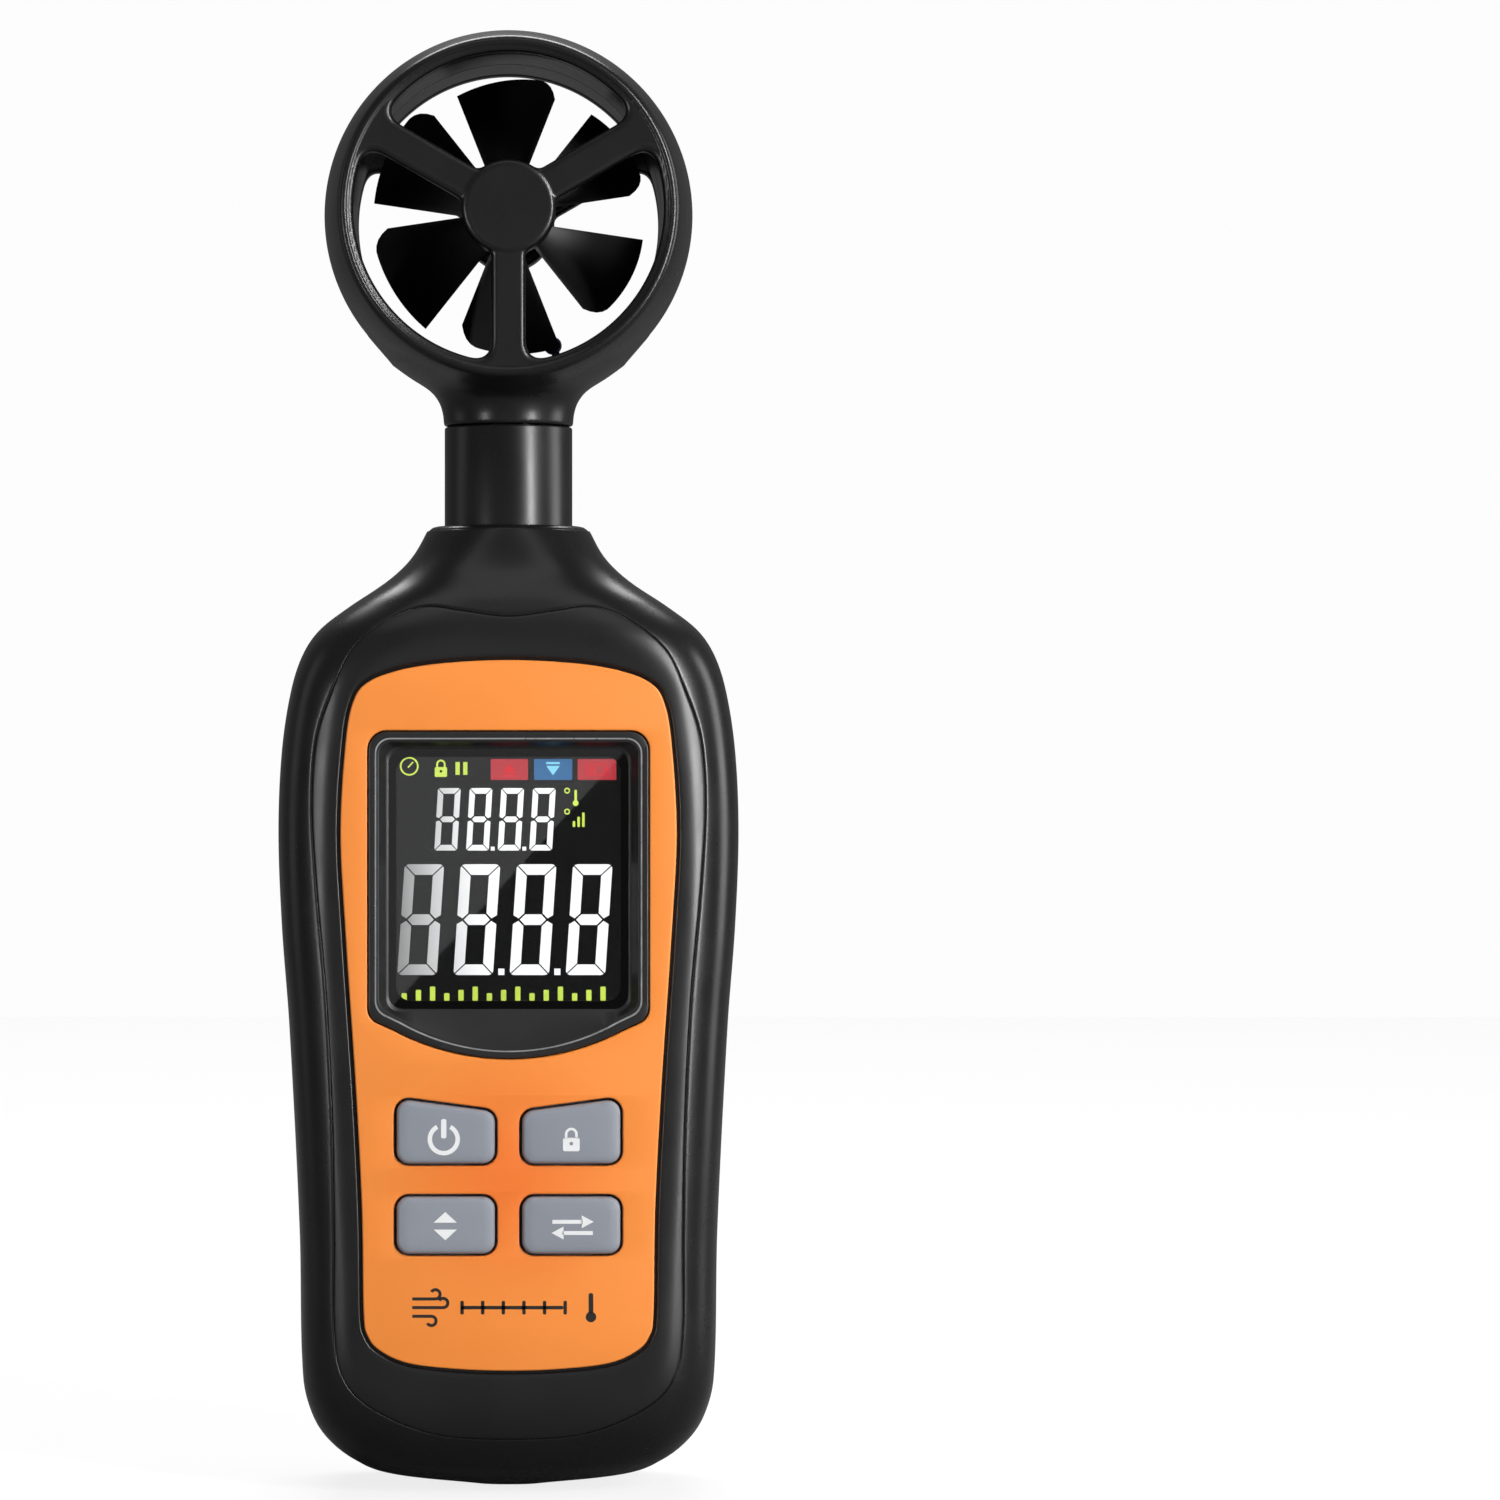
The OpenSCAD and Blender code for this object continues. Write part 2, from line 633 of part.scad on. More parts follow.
module spider() {
    inner_r = spider_hub - 1;
    outer_r = throat_radius + 0.3;
    for (a = arm_angles) on_axis() rotate([0, -a, 0])
        along_y(-arm_face, -arm_face + arm_thickness) polygon([
            [inner_r, -arm_width / 2], [outer_r - 3.4, -arm_width / 2], [outer_r - 1.2, -arm_rim_width / 2],
            [outer_r, -arm_rim_width / 2 - 0.8], [outer_r, arm_rim_width / 2 + 0.8],
            [outer_r - 1.2, arm_rim_width / 2], [outer_r - 3.4, arm_width / 2], [inner_r, arm_width / 2]]);
    on_axis() rod_y(0, 0, spider_hub, -arm_face, -hub_inner);
}

// Front half of the head; the rear half is its mirror image with the sensor pockets
module head_half() difference() {
    union() {
        intersection() {
            union() {
                about_axis() ring_profile();
                difference() {
                    collar();
                    on_axis() rod_y(0, 0, throat_radius, -big, big);
                }
            }
            block(-big, big, -big, 0, 0, 2 * big);
        }
        spider();
    }
    on_axis() rod_y(0, 0, bearing_radius, -hub_inner - bearing_length, -hub_inner + 1);
    on_axis() rod_y(0, 0, shaft_radius + 0.3, -hub_inner - 3.2, -hub_inner);
    translate([0, 0, neck_seam - 1]) cylinder(h = 3.6, r = spigot_radius + slip);
    translate([0, 0, catch_low - 0.1]) cylinder(h = 1.7, r = catch_radius + 0.2);
    translate([0, 0, catch_high]) cylinder(h = 2, r = 3);
}

module head_front() color("#242424") head_half();

module head_rear() color("#242424") difference() {
    mirror([0, 1, 0]) head_half();
    on_axis() block(-1.6, 1.6, hub_inner - 1, hub_inner + 1.4, -4.7, -2.3);
    on_axis() translate([0, lead_y, lead_turn]) cylinder(h = 15.5, r = 0.55);
    on_axis() rod_y(0, lead_turn, 0.55, -1, lead_y + 0.5);
    on_axis() rotate([0, bead_turn, 0]) translate([0, bead_y, -20.4]) cylinder(h = 4, r = 0.6);
}

module bearing(y0) on_axis() difference() {
    rod_y(0, 0, bearing_radius, y0, y0 + bearing_length);
    rod_y(0, 0, shaft_radius + slip, y0 - 1, y0 + bearing_length + 1);
}
module front_bearing() color("goldenrod") bearing(-hub_inner - bearing_length);
module rear_bearing() color("goldenrod") bearing(hub_inner);

module hall_sensor() color("#151515") on_axis() block(-1.5, 1.5, hub_inner, hub_inner + 1.3, -4.6, -2.4);
module sensor_lead() color("firebrick") on_axis() {
    translate([0, lead_y, lead_turn]) cylinder(h = -4.8 - lead_turn, r = 0.5);
    rod_y(0, lead_turn, 0.5, 0.2, lead_y + 0.4);
}
module thermistor() color("#3d5a80") on_axis() rotate([0, bead_turn, 0]) translate([0, bead_y, 0]) {
    translate([0, 0, -20.2]) cylinder(h = 4.4, r = 0.5);
    translate([0, 0, -15.6]) sphere(bead_radius);
}

// ---- impeller ----

// One blade as a helical plate between two radii
module blade() {
    spans = 4;
    chords = 10;
    root = hub_radius - 0.7;
    points = [for (side = [-1, 1]) for (i = [0:spans]) for (k = [0:chords])
        let (
            r = root + (tip_radius - root) * i / spans,
            t = k / chords - 0.5,
            trim = i == spans && k == 0 ? tip_trim : 0,
            pitch = atan2(blade_depth, r * blade_sweep * PI / 180),
            shift = side * blade_thickness / 2,
            a = blade_sweep * t,
            across = shift * sin(pitch)
        )
        [(r - trim) * cos(a) + across * sin(a), blade_depth * t - shift * cos(pitch),
            (r - trim) * sin(a) - across * cos(a)]];
    n = chords + 1;
    m = n * (spans + 1);
    top = [for (i = [0:spans - 1]) for (k = [0:chords - 1])
        let (a = i * n + k) each [[a, a + n, a + n + 1], [a, a + n + 1, a + 1]]];
    under = [for (f = top) [f[2] + m, f[1] + m, f[0] + m]];
    ends = [for (k = [0:chords - 1]) each [[k, k + 1, k + 1 + m], [k, k + 1 + m, k + m],
        [k + 1 + spans * n, k + spans * n, k + spans * n + m],
        [k + 1 + spans * n, k + spans * n + m, k + 1 + spans * n + m]]];
    sides = [for (i = [0:spans - 1]) let (a = i * n, b = i * n + chords)
        each [[a + n, a, a + m], [a + n, a + m, a + n + m], [b, b + n, b + n + m], [b, b + n + m, b + m]]];
    faces = concat(top, under, ends, sides);
    polyhedron(points, [for (f = faces) [f[2], f[1], f[0]]]);
}
module impeller() color("#161616") difference() {
    union() {
        on_axis() rod_y(0, 0, hub_radius, -hub_half, hub_half);
        for (k = [0:blade_count - 1]) on_axis() rotate([0, -(30 + 360 * k / blade_count), 0]) blade();
    }
    on_axis() rod_y(0, 0, shaft_radius, -big, big);
    on_axis() rod_y(0, 0, magnet_radius, magnet_low, big);
}
module impeller_shaft() color("silver") on_axis() rod_y(0, 0, shaft_radius, -hub_inner - 2.9, hub_inner + 2.9);
module impeller_magnet() color("#4a4a4a") on_axis() difference() {
    rod_y(0, 0, magnet_radius, magnet_low, hub_half + 1);
    rod_y(0, 0, shaft_radius, -big, big);
}

front_housing();
front_overmould();
rear_housing();
rear_overmould();
fascia_panel();
display_bezel();
display_window();
display_gasket();
lcd_panel();
lcd_backlight();
lcd_holder();
circuit_board();
board_chips();
board_connector();
buzzer();
board_screws();
switch_bodies();
housing_screws();
battery_cell_left();
battery_cell_middle();
battery_cell_right();
battery_springs();
battery_contacts();
battery_leads();
neck_tube();
neck_o_ring();
sensor_cable();
head_front();
head_rear();
front_bearing();
rear_bearing();
hall_sensor();
sensor_lead();
thermistor();
impeller();
impeller_shaft();
impeller_magnet();
button_power();
button_hold();
button_min_max();
button_units();
plunger_power();
plunger_hold();
plunger_min_max();
plunger_units();
battery_door();
door_pad();
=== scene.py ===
"""Looks of the handheld weather meter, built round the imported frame.

Sizes are in millimetres, with x to the right, y away from the reader and z up, as in the CAD.
Meshes are scaled to metres when they are made.
"""
import json
import math

import bmesh
import bpy
import numpy as np
from mathutils import Matrix, Vector


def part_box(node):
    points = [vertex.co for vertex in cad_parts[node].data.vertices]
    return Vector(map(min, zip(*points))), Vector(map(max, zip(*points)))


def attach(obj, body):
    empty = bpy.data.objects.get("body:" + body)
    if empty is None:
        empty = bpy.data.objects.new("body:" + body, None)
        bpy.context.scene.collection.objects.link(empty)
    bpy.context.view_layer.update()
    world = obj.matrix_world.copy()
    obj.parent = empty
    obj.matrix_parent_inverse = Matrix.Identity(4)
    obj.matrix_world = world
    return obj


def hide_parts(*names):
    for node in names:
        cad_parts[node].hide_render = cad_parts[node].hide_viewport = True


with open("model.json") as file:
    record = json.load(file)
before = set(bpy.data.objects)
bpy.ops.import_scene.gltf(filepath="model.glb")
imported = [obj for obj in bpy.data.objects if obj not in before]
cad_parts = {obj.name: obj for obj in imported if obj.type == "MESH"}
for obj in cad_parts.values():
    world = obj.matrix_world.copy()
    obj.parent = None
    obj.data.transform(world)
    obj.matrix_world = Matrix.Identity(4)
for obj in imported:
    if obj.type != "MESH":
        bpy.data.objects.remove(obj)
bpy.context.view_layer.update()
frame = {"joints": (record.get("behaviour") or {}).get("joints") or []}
MM = 0.001
FRONT = -1
REAR = 1


def low(node):
    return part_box(node)[0] / MM


def high(node):
    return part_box(node)[1] / MM


joints = {j["name"]: j for j in frame["joints"]}
AXIS_Z = joints["impeller_spin"]["pos_m"][2] / MM
SEAM_Z = joints["head_swivel"]["pos_m"][2] / MM
FASCIA_Y = low("fascia_panel").y
FASCIA_BACK = high("fascia_panel").y
BEZEL_Y = low("display_bezel").y
WINDOW_Y = low("display_window").y
LCD_Y = low("lcd_panel").y
BUTTON_Y = low("button_hold").y
BACK_Y = high("rear_housing").y
FRONT_FLAT = -FASCIA_Y - 0.3
NECK_R = 7.6
BODY_TOP = high("front_overmould").z

# ------------------------------------------------------------------ shape of the body

WIDTH = [
    (0, 5.4), (1, 14.4), (2.5, 18.2), (5, 21.3), (8, 23.2), (12.5, 24.3), (30, 24.7), (54, 25.9),
    (66, 26.8), (77, 27.2), (86.5, 26.8), (93.7, 25.7), (98, 24.3), (100.9, 22.3), (103.7, 18.7),
    (106.6, 14.4), (109.4, 11.5), (112.6, 9.7),
]
DEPTH = {
    FRONT: [
        (0, 7), (1, 10), (3, 13), (8, 15.3), (16, 16.2), (94, 16.2), (100, 15.6), (104, 14),
        (108, 11.7), (112.6, 9.7),
    ],
    REAR: [
        (0, 8), (1, 11.4), (3, 14.1), (8, 16.5), (16, 17.3), (90, 17.3), (98, 16.4), (103, 14.5),
        (108, 11.8), (112.6, 9.7),
    ],
}
POWER = [(0, 2.6), (8, 4.2), (20, 5), (92, 5), (102, 3.8), (112.6, 2)]
FLAT = {FRONT: FRONT_FLAT, REAR: BACK_Y}
SOFTEN = 0.5  # how gently the flat faces run into the rounded sides

FIELD = [
    (0, 102.2), (5.5, 102.9), (9.8, 103.4), (14, 101.9), (18.3, 98.3), (20.6, 93.3), (22.4, 87.7),
    (22.9, 80), (22.3, 70), (21.2, 58), (20.5, 44), (20.3, 30), (20.3, 19), (19.4, 13.6),
    (16.2, 10), (9, 6.9), (0, 6.2),
]
FASCIA = [
    (0, 97.2), (8, 96.8), (13.2, 95.9), (16.6, 94.5), (18.2, 92.3), (19.1, 87.5), (19.7, 77),
    (19.1, 65), (17.9, 47), (17.2, 33), (17, 21), (16.5, 18.3), (15.1, 16.6), (11.8, 15.1),
    (6, 14.4), (0, 14.2),
]


def on_curve(rows, z):
    """Value at z on a smooth curve through the rows."""
    zs = np.array([r[0] for r in rows], float)
    vs = np.array([r[1] for r in rows], float)
    z = np.clip(np.asarray(z, float), zs[0], zs[-1])
    i = np.clip(np.searchsorted(zs, z, side="left") - 1, 0, len(zs) - 2)
    slopes = np.empty_like(vs)
    slopes[1:-1] = (vs[2:] - vs[:-2]) / (zs[2:] - zs[:-2])
    slopes[0] = (vs[1] - vs[0]) / (zs[1] - zs[0])
    slopes[-1] = (vs[-1] - vs[-2]) / (zs[-1] - zs[-2])
    h = zs[i + 1] - zs[i]
    t = (z - zs[i]) / h
    return (vs[i] * (2 * t**3 - 3 * t**2 + 1) + vs[i + 1] * (3 * t**2 - 2 * t**3)
            + h * slopes[i] * (t**3 - 2 * t**2 + t) + h * slopes[i + 1] * (t**3 - t**2))


def soft_min(a, b, k=SOFTEN):
    """The smaller of two values, with the corner between them rounded off."""
    h = np.clip(0.5 + 0.5 * (b - a) / k, 0, 1)
    return b * (1 - h) + a * h - k * h * (1 - h)


def face_y(x, z, side):
    """Outward reach of the body's front or back at x, z."""
    n = on_curve(POWER, z)
    w = on_curve(WIDTH, z)
    reach = on_curve(DEPTH[side], z) * np.maximum(1 - np.minimum(np.abs(x) / w, 1) ** n, 0) ** (1 / n)
    return soft_min(reach, FLAT[side])


ANGLES = np.radians(np.linspace(0, 180, 361))


def section(z, side):
    """Half section at z: x and y along it, and the share of its length gone at each point."""
    n = on_curve(POWER, z)
    c, s = np.cos(ANGLES), np.sin(ANGLES)
    x = on_curve(WIDTH, z) * np.sign(c) * np.abs(c) ** (2 / n)
    y = soft_min(on_curve(DEPTH[side], z) * np.abs(s) ** (2 / n), FLAT[side])
    y = np.maximum(y, 0)
    y[0] = y[-1] = 0
    run = np.concatenate([[0], np.cumsum(np.hypot(np.diff(x), np.diff(y)))])
    return x, y, run / run[-1]


def on_section(z, share, side):
    x, y, run = section(z, side)
    return float(np.interp(share, run, x)), float(np.interp(share, run, y))


def share_at(x, z, side):
    xs, _, run = section(z, side)
    return float(np.interp(-x, -xs, run))


def smooth(points, steps=8):
    """Closed smooth outline through points, as an array."""
    p = np.array(points, float)
    out = []
    for i in range(len(p)):
        a, b, c, d = p[i - 1], p[i], p[(i + 1) % len(p)], p[(i + 2) % len(p)]
        for k in range(steps):
            t = k / steps
            out.append(0.5 * (2 * b + (c - a) * t + (2 * a - 5 * b + 4 * c - d) * t**2
                              + (3 * b - 3 * c + d - a) * t**3))
    return np.array(out)


def mirrored(half):
    return list(half) + [(-x, z) for x, z in half[-2:0:-1]]


def resampled(outline, count):
    """Outline with count points, evenly spaced along it from its first point."""
    closed = np.vstack([outline, outline[:1]])
    run = np.concatenate([[0], np.cumsum(np.hypot(*np.diff(closed, axis=0).T))])
    at = np.linspace(0, run[-1], count, endpoint=False)
    return np.column_stack([np.interp(at, run, closed[:, 0]), np.interp(at, run, closed[:, 1])])


def from_top(outline, count):
    """Outline run clockwise from where it crosses x = 0 at the top, with count even points."""
    p = np.asarray(outline, float)
    if (p[:, 0] * np.roll(p[:, 1], -1) - np.roll(p[:, 0], -1) * p[:, 1]).sum() > 0:
        p = p[::-1]
    q = np.roll(p, -1, axis=0)
    mid = (p[:, 0].min() + p[:, 0].max()) / 2
    crossing = (p[:, 0] <= mid) & (q[:, 0] > mid)
    i = int(np.argmax(np.where(crossing, p[:, 1], -1e9)))
    t = (mid - p[i, 0]) / (q[i, 0] - p[i, 0])
    start = p[i] + (q[i] - p[i]) * t
    return resampled(np.vstack([[start], np.roll(p, -(i + 1), axis=0)]), count)


def inset(outline, by):
    """Outline moved inwards (by > 0) along its own normals; outlines here run clockwise from the top."""
    ahead, behind = np.roll(outline, -1, axis=0), np.roll(outline, 1, axis=0)
    t = ahead - behind
    t /= np.maximum(np.linalg.norm(t, axis=1, keepdims=True), 1e-9)
    return outline + by * np.column_stack([t[:, 1], -t[:, 0]])


def rounded(points, r, steps=6):
    """Polygon with each corner replaced by an arc."""
    p = [np.array(q, float) for q in points]
    out = []
    for i, b in enumerate(p):
        a, c = p[i - 1], p[(i + 1) % len(p)]
        radius = r[i] if isinstance(r, (list, tuple)) else r
        u, v = (a - b) / np.linalg.norm(a - b), (c - b) / np.linalg.norm(c - b)
        half = math.acos(float(np.clip(u @ v, -1, 1))) / 2
        centre = b + (u + v) / np.linalg.norm(u + v) * radius / math.sin(half)
        start = b + u * radius / math.tan(half) - centre
        end = b + v * radius / math.tan(half) - centre
        turn = math.atan2(start[0] * end[1] - start[1] * end[0], start @ end)
        for k in range(steps + 1):
            t = turn * k / steps
            cos, sin = math.cos(t), math.sin(t)
            out.append(centre + [start[0] * cos - start[1] * sin, start[0] * sin + start[1] * cos])
    return np.array(out)


# ------------------------------------------------------------------ making pieces


def piece(name, verts, faces, material, body, replaces=(), sharp=35):
    """One mesh piece from millimetre points, riding on a body."""
    mesh = bpy.data.meshes.new(name)
    mesh.from_pydata([Vector(v) * MM for v in np.asarray(verts, float)], [], [list(map(int, f)) for f in faces])
    return finish_piece(name, mesh, material, body, replaces, sharp)


def finish_piece(name, mesh, material, body, replaces=(), sharp=35, recalc=True):
    bm = bmesh.new()
    bm.from_mesh(mesh)
    bmesh.ops.remove_doubles(bm, verts=bm.verts, dist=1e-7)
    bmesh.ops.dissolve_degenerate(bm, edges=bm.edges, dist=1e-8)
    if recalc:
        bmesh.ops.recalc_face_normals(bm, faces=bm.faces)
    bm.to_mesh(mesh)
    bm.free()
    mesh.validate()
    mesh.shade_smooth()
    mesh.set_sharp_from_angle(angle=math.radians(sharp))
    mesh.materials.clear()
    mesh.materials.append(material)
    obj = bpy.data.objects.new(name, mesh)
    bpy.context.scene.collection.objects.link(obj)
    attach(obj, body)
    if replaces:
        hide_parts(*replaces)
    return obj


def strip_faces(rows, count, closed=True):
    """Quads between rows of count points each."""
    faces = []
    for r in range(rows - 1):
        for k in range(count if closed else count - 1):
            a, b = r * count + k, r * count + (k + 1) % count
            faces.append((a, b, b + count, a + count))
    return faces


def ring_piece(name, rows, material, body, replaces=(), cap_last=False, cap_first=False, sharp=35):
    """Piece from closed rows of points, each joined to the next."""
    count = len(rows[0])
    verts = np.vstack(rows)
    faces = strip_faces(len(rows), count)
    for wanted, start in ((cap_first, 0), (cap_last, (len(rows) - 1) * count)):
        if wanted:
            middle = len(verts)
            verts = np.vstack([verts, verts[start:start + count].mean(0)])
            faces += [(start + k, start + (k + 1) % count, middle) for k in range(count)]
    return piece(name, verts, faces, material, body, replaces, sharp)


def at_y(outline, y):
    """Rows of [x, z] at depth y, or at one depth per point."""
    return np.column_stack([outline[:, 0], np.broadcast_to(y, len(outline)), outline[:, 1]])


def lathe(profile, count=96, centre=(0, 0)):
    """Rows of points for a profile of (radius, z) turned about a vertical axis."""
    a = np.linspace(0, 2 * math.pi, count, endpoint=False)
    return [np.column_stack([centre[0] + r * np.cos(a), centre[1] + r * np.sin(a), np.full(count, z)])
            for r, z in profile]


def plate_mesh(name, outlines, y_front, y_back, bevel, steps=3):
    """Flat plate in the x-z plane from outlines, the first of them outside and the rest its holes."""
    curve = bpy.data.curves.new(name, "CURVE")
    curve.dimensions = "2D"
    curve.fill_mode = "BOTH"
    curve.extrude = ((y_back - y_front) / 2 - bevel) * MM
    curve.bevel_depth = bevel * MM
    curve.bevel_resolution = steps
    curve.offset = -bevel * MM
    for outline in outlines:
        spline = curve.splines.new("POLY")
        spline.points.add(len(outline) - 1)
        for point, (x, z) in zip(spline.points, outline):
            point.co = (x * MM, z * MM, 0, 1)
        spline.use_cyclic_u = True
    maker = bpy.data.objects.new(name + "_maker", curve)
    bpy.context.scene.collection.objects.link(maker)
    bpy.context.view_layer.update()
    mesh = bpy.data.meshes.new_from_object(maker.evaluated_get(bpy.context.evaluated_depsgraph_get()))
    bpy.data.objects.remove(maker)
    bpy.data.curves.remove(curve)
    mesh.transform(Matrix.Translation((0, (y_front + y_back) / 2 * MM, 0)) @ Matrix.Rotation(math.pi / 2, 4, "X"))
    mesh.name = name
    return mesh


def plate(name, outlines, y_front, y_back, bevel, material, body, replaces=(), sharp=30):
    mesh = plate_mesh(name, outlines, y_front, y_back, bevel)
    return finish_piece(name, mesh, material, body, replaces, sharp)


# Smooth solids from a distance function, as quads set on its zero surface


def skin_of(field, lower, upper, step):
    """Vertices and quads of the surface where field is zero; field takes an array of points."""
    n = [int(math.ceil((b - a) / step)) + 1 for a, b in zip(lower, upper)]
    axes = [a + step * np.arange(k) for a, k in zip(lower, n)]
    grid = np.stack(np.meshgrid(*axes, indexing="ij"), -1)
    value = field(grid.reshape(-1, 3)).reshape(n)
    inside = value < 0
    cells = np.zeros([k - 1 for k in n], int)
    total = np.zeros([k - 1 for k in n] + [3])
    base = grid[:-1, :-1, :-1]
    for axis in range(3):
        for d in np.ndindex(2, 2):
            corner = [0, 0, 0]
            others = [a for a in range(3) if a != axis]
            corner[others[0]], corner[others[1]] = d
            a = tuple(slice(c, c + k - 1) for c, k in zip(corner, n))
            ahead = list(corner)
            ahead[axis] += 1
            b = tuple(slice(c, c + k - 1) for c, k in zip(ahead, n))
            crossing = inside[a] != inside[b]
            va, vb = value[a], value[b]
            share = np.where(crossing, va / np.where(crossing, va - vb, 1), 0)
            offset = np.zeros(list(crossing.shape) + [3])
            for k in range(3):
                offset[..., k] = corner[k] * step
            offset[..., axis] += share * step
            total += np.where(crossing[..., None], base + offset, 0)
            cells += crossing
    used = cells > 0
    index = -np.ones(cells.shape, int)
    index[used] = np.arange(used.sum())
    verts = total[used] / cells[used][:, None]
    quads = []
    for axis in range(3):
        others = [a for a in range(3) if a != axis]
        cut = [slice(1, k - 1) for k in n]
        cut[axis] = slice(0, n[axis] - 1)
        ahead = list(cut)
        ahead[axis] = slice(1, n[axis])
        crossing = inside[tuple(cut)] != inside[tuple(ahead)]
        where = np.argwhere(crossing)
        start = where.copy()
        for o in others:
            start[:, o] += 1
        corners = []
        for d in ((-1, -1), (0, -1), (0, 0), (-1, 0)):
            cell = start.copy()
            cell[:, others[0]] += d[0]
            cell[:, others[1]] += d[1]
            corners.append(index[cell[:, 0], cell[:, 1], cell[:, 2]])
        quads.append(np.column_stack(corners))
    quads = np.vstack(quads)
    tiny = step * 0.02
    for _ in range(3):
        at = field(verts)
        slope = np.column_stack([
            (field(verts + e) - field(verts - e)) / (2 * tiny)
            for e in np.eye(3) * tiny])
        size = np.maximum((slope**2).sum(1), 0.2)
        move = -(at / size)[:, None] * slope
        verts = verts + np.clip(move, -0.4 * step, 0.4 * step)
    return verts, quads


def blend_min(a, b, k):
    h = np.clip(0.5 + 0.5 * (b - a) / k, 0, 1)
    return b * (1 - h) + a * h - k * h * (1 - h)


def blend_max(a, b, k):
    return -blend_min(-a, -b, k)


# ------------------------------------------------------------------ materials


class Nodes:
    """A material's node tree, with short calls for the nodes used here."""

    def __init__(self, name):
        self.material = bpy.data.materials.new(name)
        self.material.use_nodes = True
        self.tree = self.material.node_tree
        self.shader = self.tree.nodes["Principled BSDF"]
        self.place = self.tree.nodes.new("ShaderNodeTexCoord").outputs["Object"]

    def add(self, kind, links=(), **values):
        node = self.tree.nodes.new(kind)
        for key, value in values.items():
            if key in node.inputs:
                node.inputs[key].default_value = value
            else:
                setattr(node, key, value)
        for key, source in links:
            self.tree.links.new(source, node.inputs[key])
        return node

    def link(self, source, key):
        self.tree.links.new(source, self.shader.inputs[key])

    def noise(self, scale, detail=2, roughness=0.5):
        node = self.add("ShaderNodeTexNoise", [("Vector", self.place)], Scale=scale, Detail=detail,
                        Roughness=roughness)
        return node.outputs["Fac"]

    def ranged(self, source, lower, upper, start=0.3, end=0.7):
        node = self.add("ShaderNodeMapRange", [("Value", source)])
        for key, value in (("From Min", start), ("From Max", end), ("To Min", lower), ("To Max", upper)):
            node.inputs[key].default_value = value
        return node.outputs["Result"]

    def mixed(self, source, first, second):
        node = self.add("ShaderNodeMix", data_type="RGBA")
        node.inputs[6].default_value = (*first, 1)
        node.inputs[7].default_value = (*second, 1)
        self.tree.links.new(source, node.inputs[0])
        return node.outputs[2]

    def bump(self, height, depth, strength=1.0, after=None):
        node = self.add("ShaderNodeBump", [("Height", height)], Strength=strength, Distance=depth)
        if after is not None:
            self.tree.links.new(after, node.inputs["Normal"])
        return node.outputs["Normal"]


def moulded(name, dark, light, rough, grain=2600, grain_depth=0.0000015, mottle=60, metallic=0.0, **fixed):
    """Moulded plastic or rubber: faint mottling, uneven gloss and a fine spark-eroded grain."""
    n = Nodes(name)
    n.link(n.mixed(n.ranged(n.noise(mottle, 4), 0, 1), dark, light), "Base Color")
    n.link(n.ranged(n.noise(mottle * 2.3, 3), rough[0], rough[1]), "Roughness")
    n.link(n.bump(n.noise(grain, 3, 0.6), grain_depth, 1.0), "Normal")
    n.shader.inputs["Metallic"].default_value = metallic
    for key, value in fixed.items():
        n.shader.inputs[key.replace("_", " ")].default_value = value
    return n.material


def metal(name, color, rough=(0.2, 0.35), grain=900):
    n = Nodes(name)
    n.link(n.mixed(n.ranged(n.noise(140, 4), 0, 1), [c * 0.8 for c in color], color), "Base Color")
    n.link(n.ranged(n.noise(grain, 2), rough[0], rough[1]), "Roughness")
    n.link(n.bump(n.noise(grain * 2, 2), 0.000004), "Normal")
    n.shader.inputs["Metallic"].default_value = 1.0
    return n.material


def glowing(name, color, strength, dim=0.75):
    """Lit display ink: slightly uneven, as a backlight is."""
    n = Nodes(name)
    glow = n.mixed(n.ranged(n.noise(45, 2), 0, 1), [c * dim for c in color], color)
    n.link(glow, "Emission Color")
    n.shader.inputs["Emission Strength"].default_value = strength
    n.link(n.mixed(n.noise(45, 2), [c * 0.2 for c in color], [c * 0.3 for c in color]), "Base Color")
    n.shader.inputs["Roughness"].default_value = 0.5
    return n.material


def glare_dimmed_white():
    """Lit white figures with painted shade: dimmer towards the left edge of the panel, standing in for the glare across
    the window.
    """
    n = Nodes("lcd_white")
    split = n.add("ShaderNodeSeparateXYZ", [("Vector", n.place)])
    # Painted shade: full brightness right of x = -3 mm, down to about a quarter at x = -12.5 mm.
    level = n.ranged(split.outputs["X"], 0.24, 1.0, -0.0125, -0.003)
    n.link(n.mixed(level, (0, 0, 0), (1, 1, 1)), "Emission Color")
    n.link(n.ranged(n.noise(45), 1.08, 1.15), "Emission Strength")
    n.link(n.mixed(n.noise(45, 2), (0.10, 0.10, 0.10), (0.12, 0.12, 0.12)), "Base Color")
    return n.material


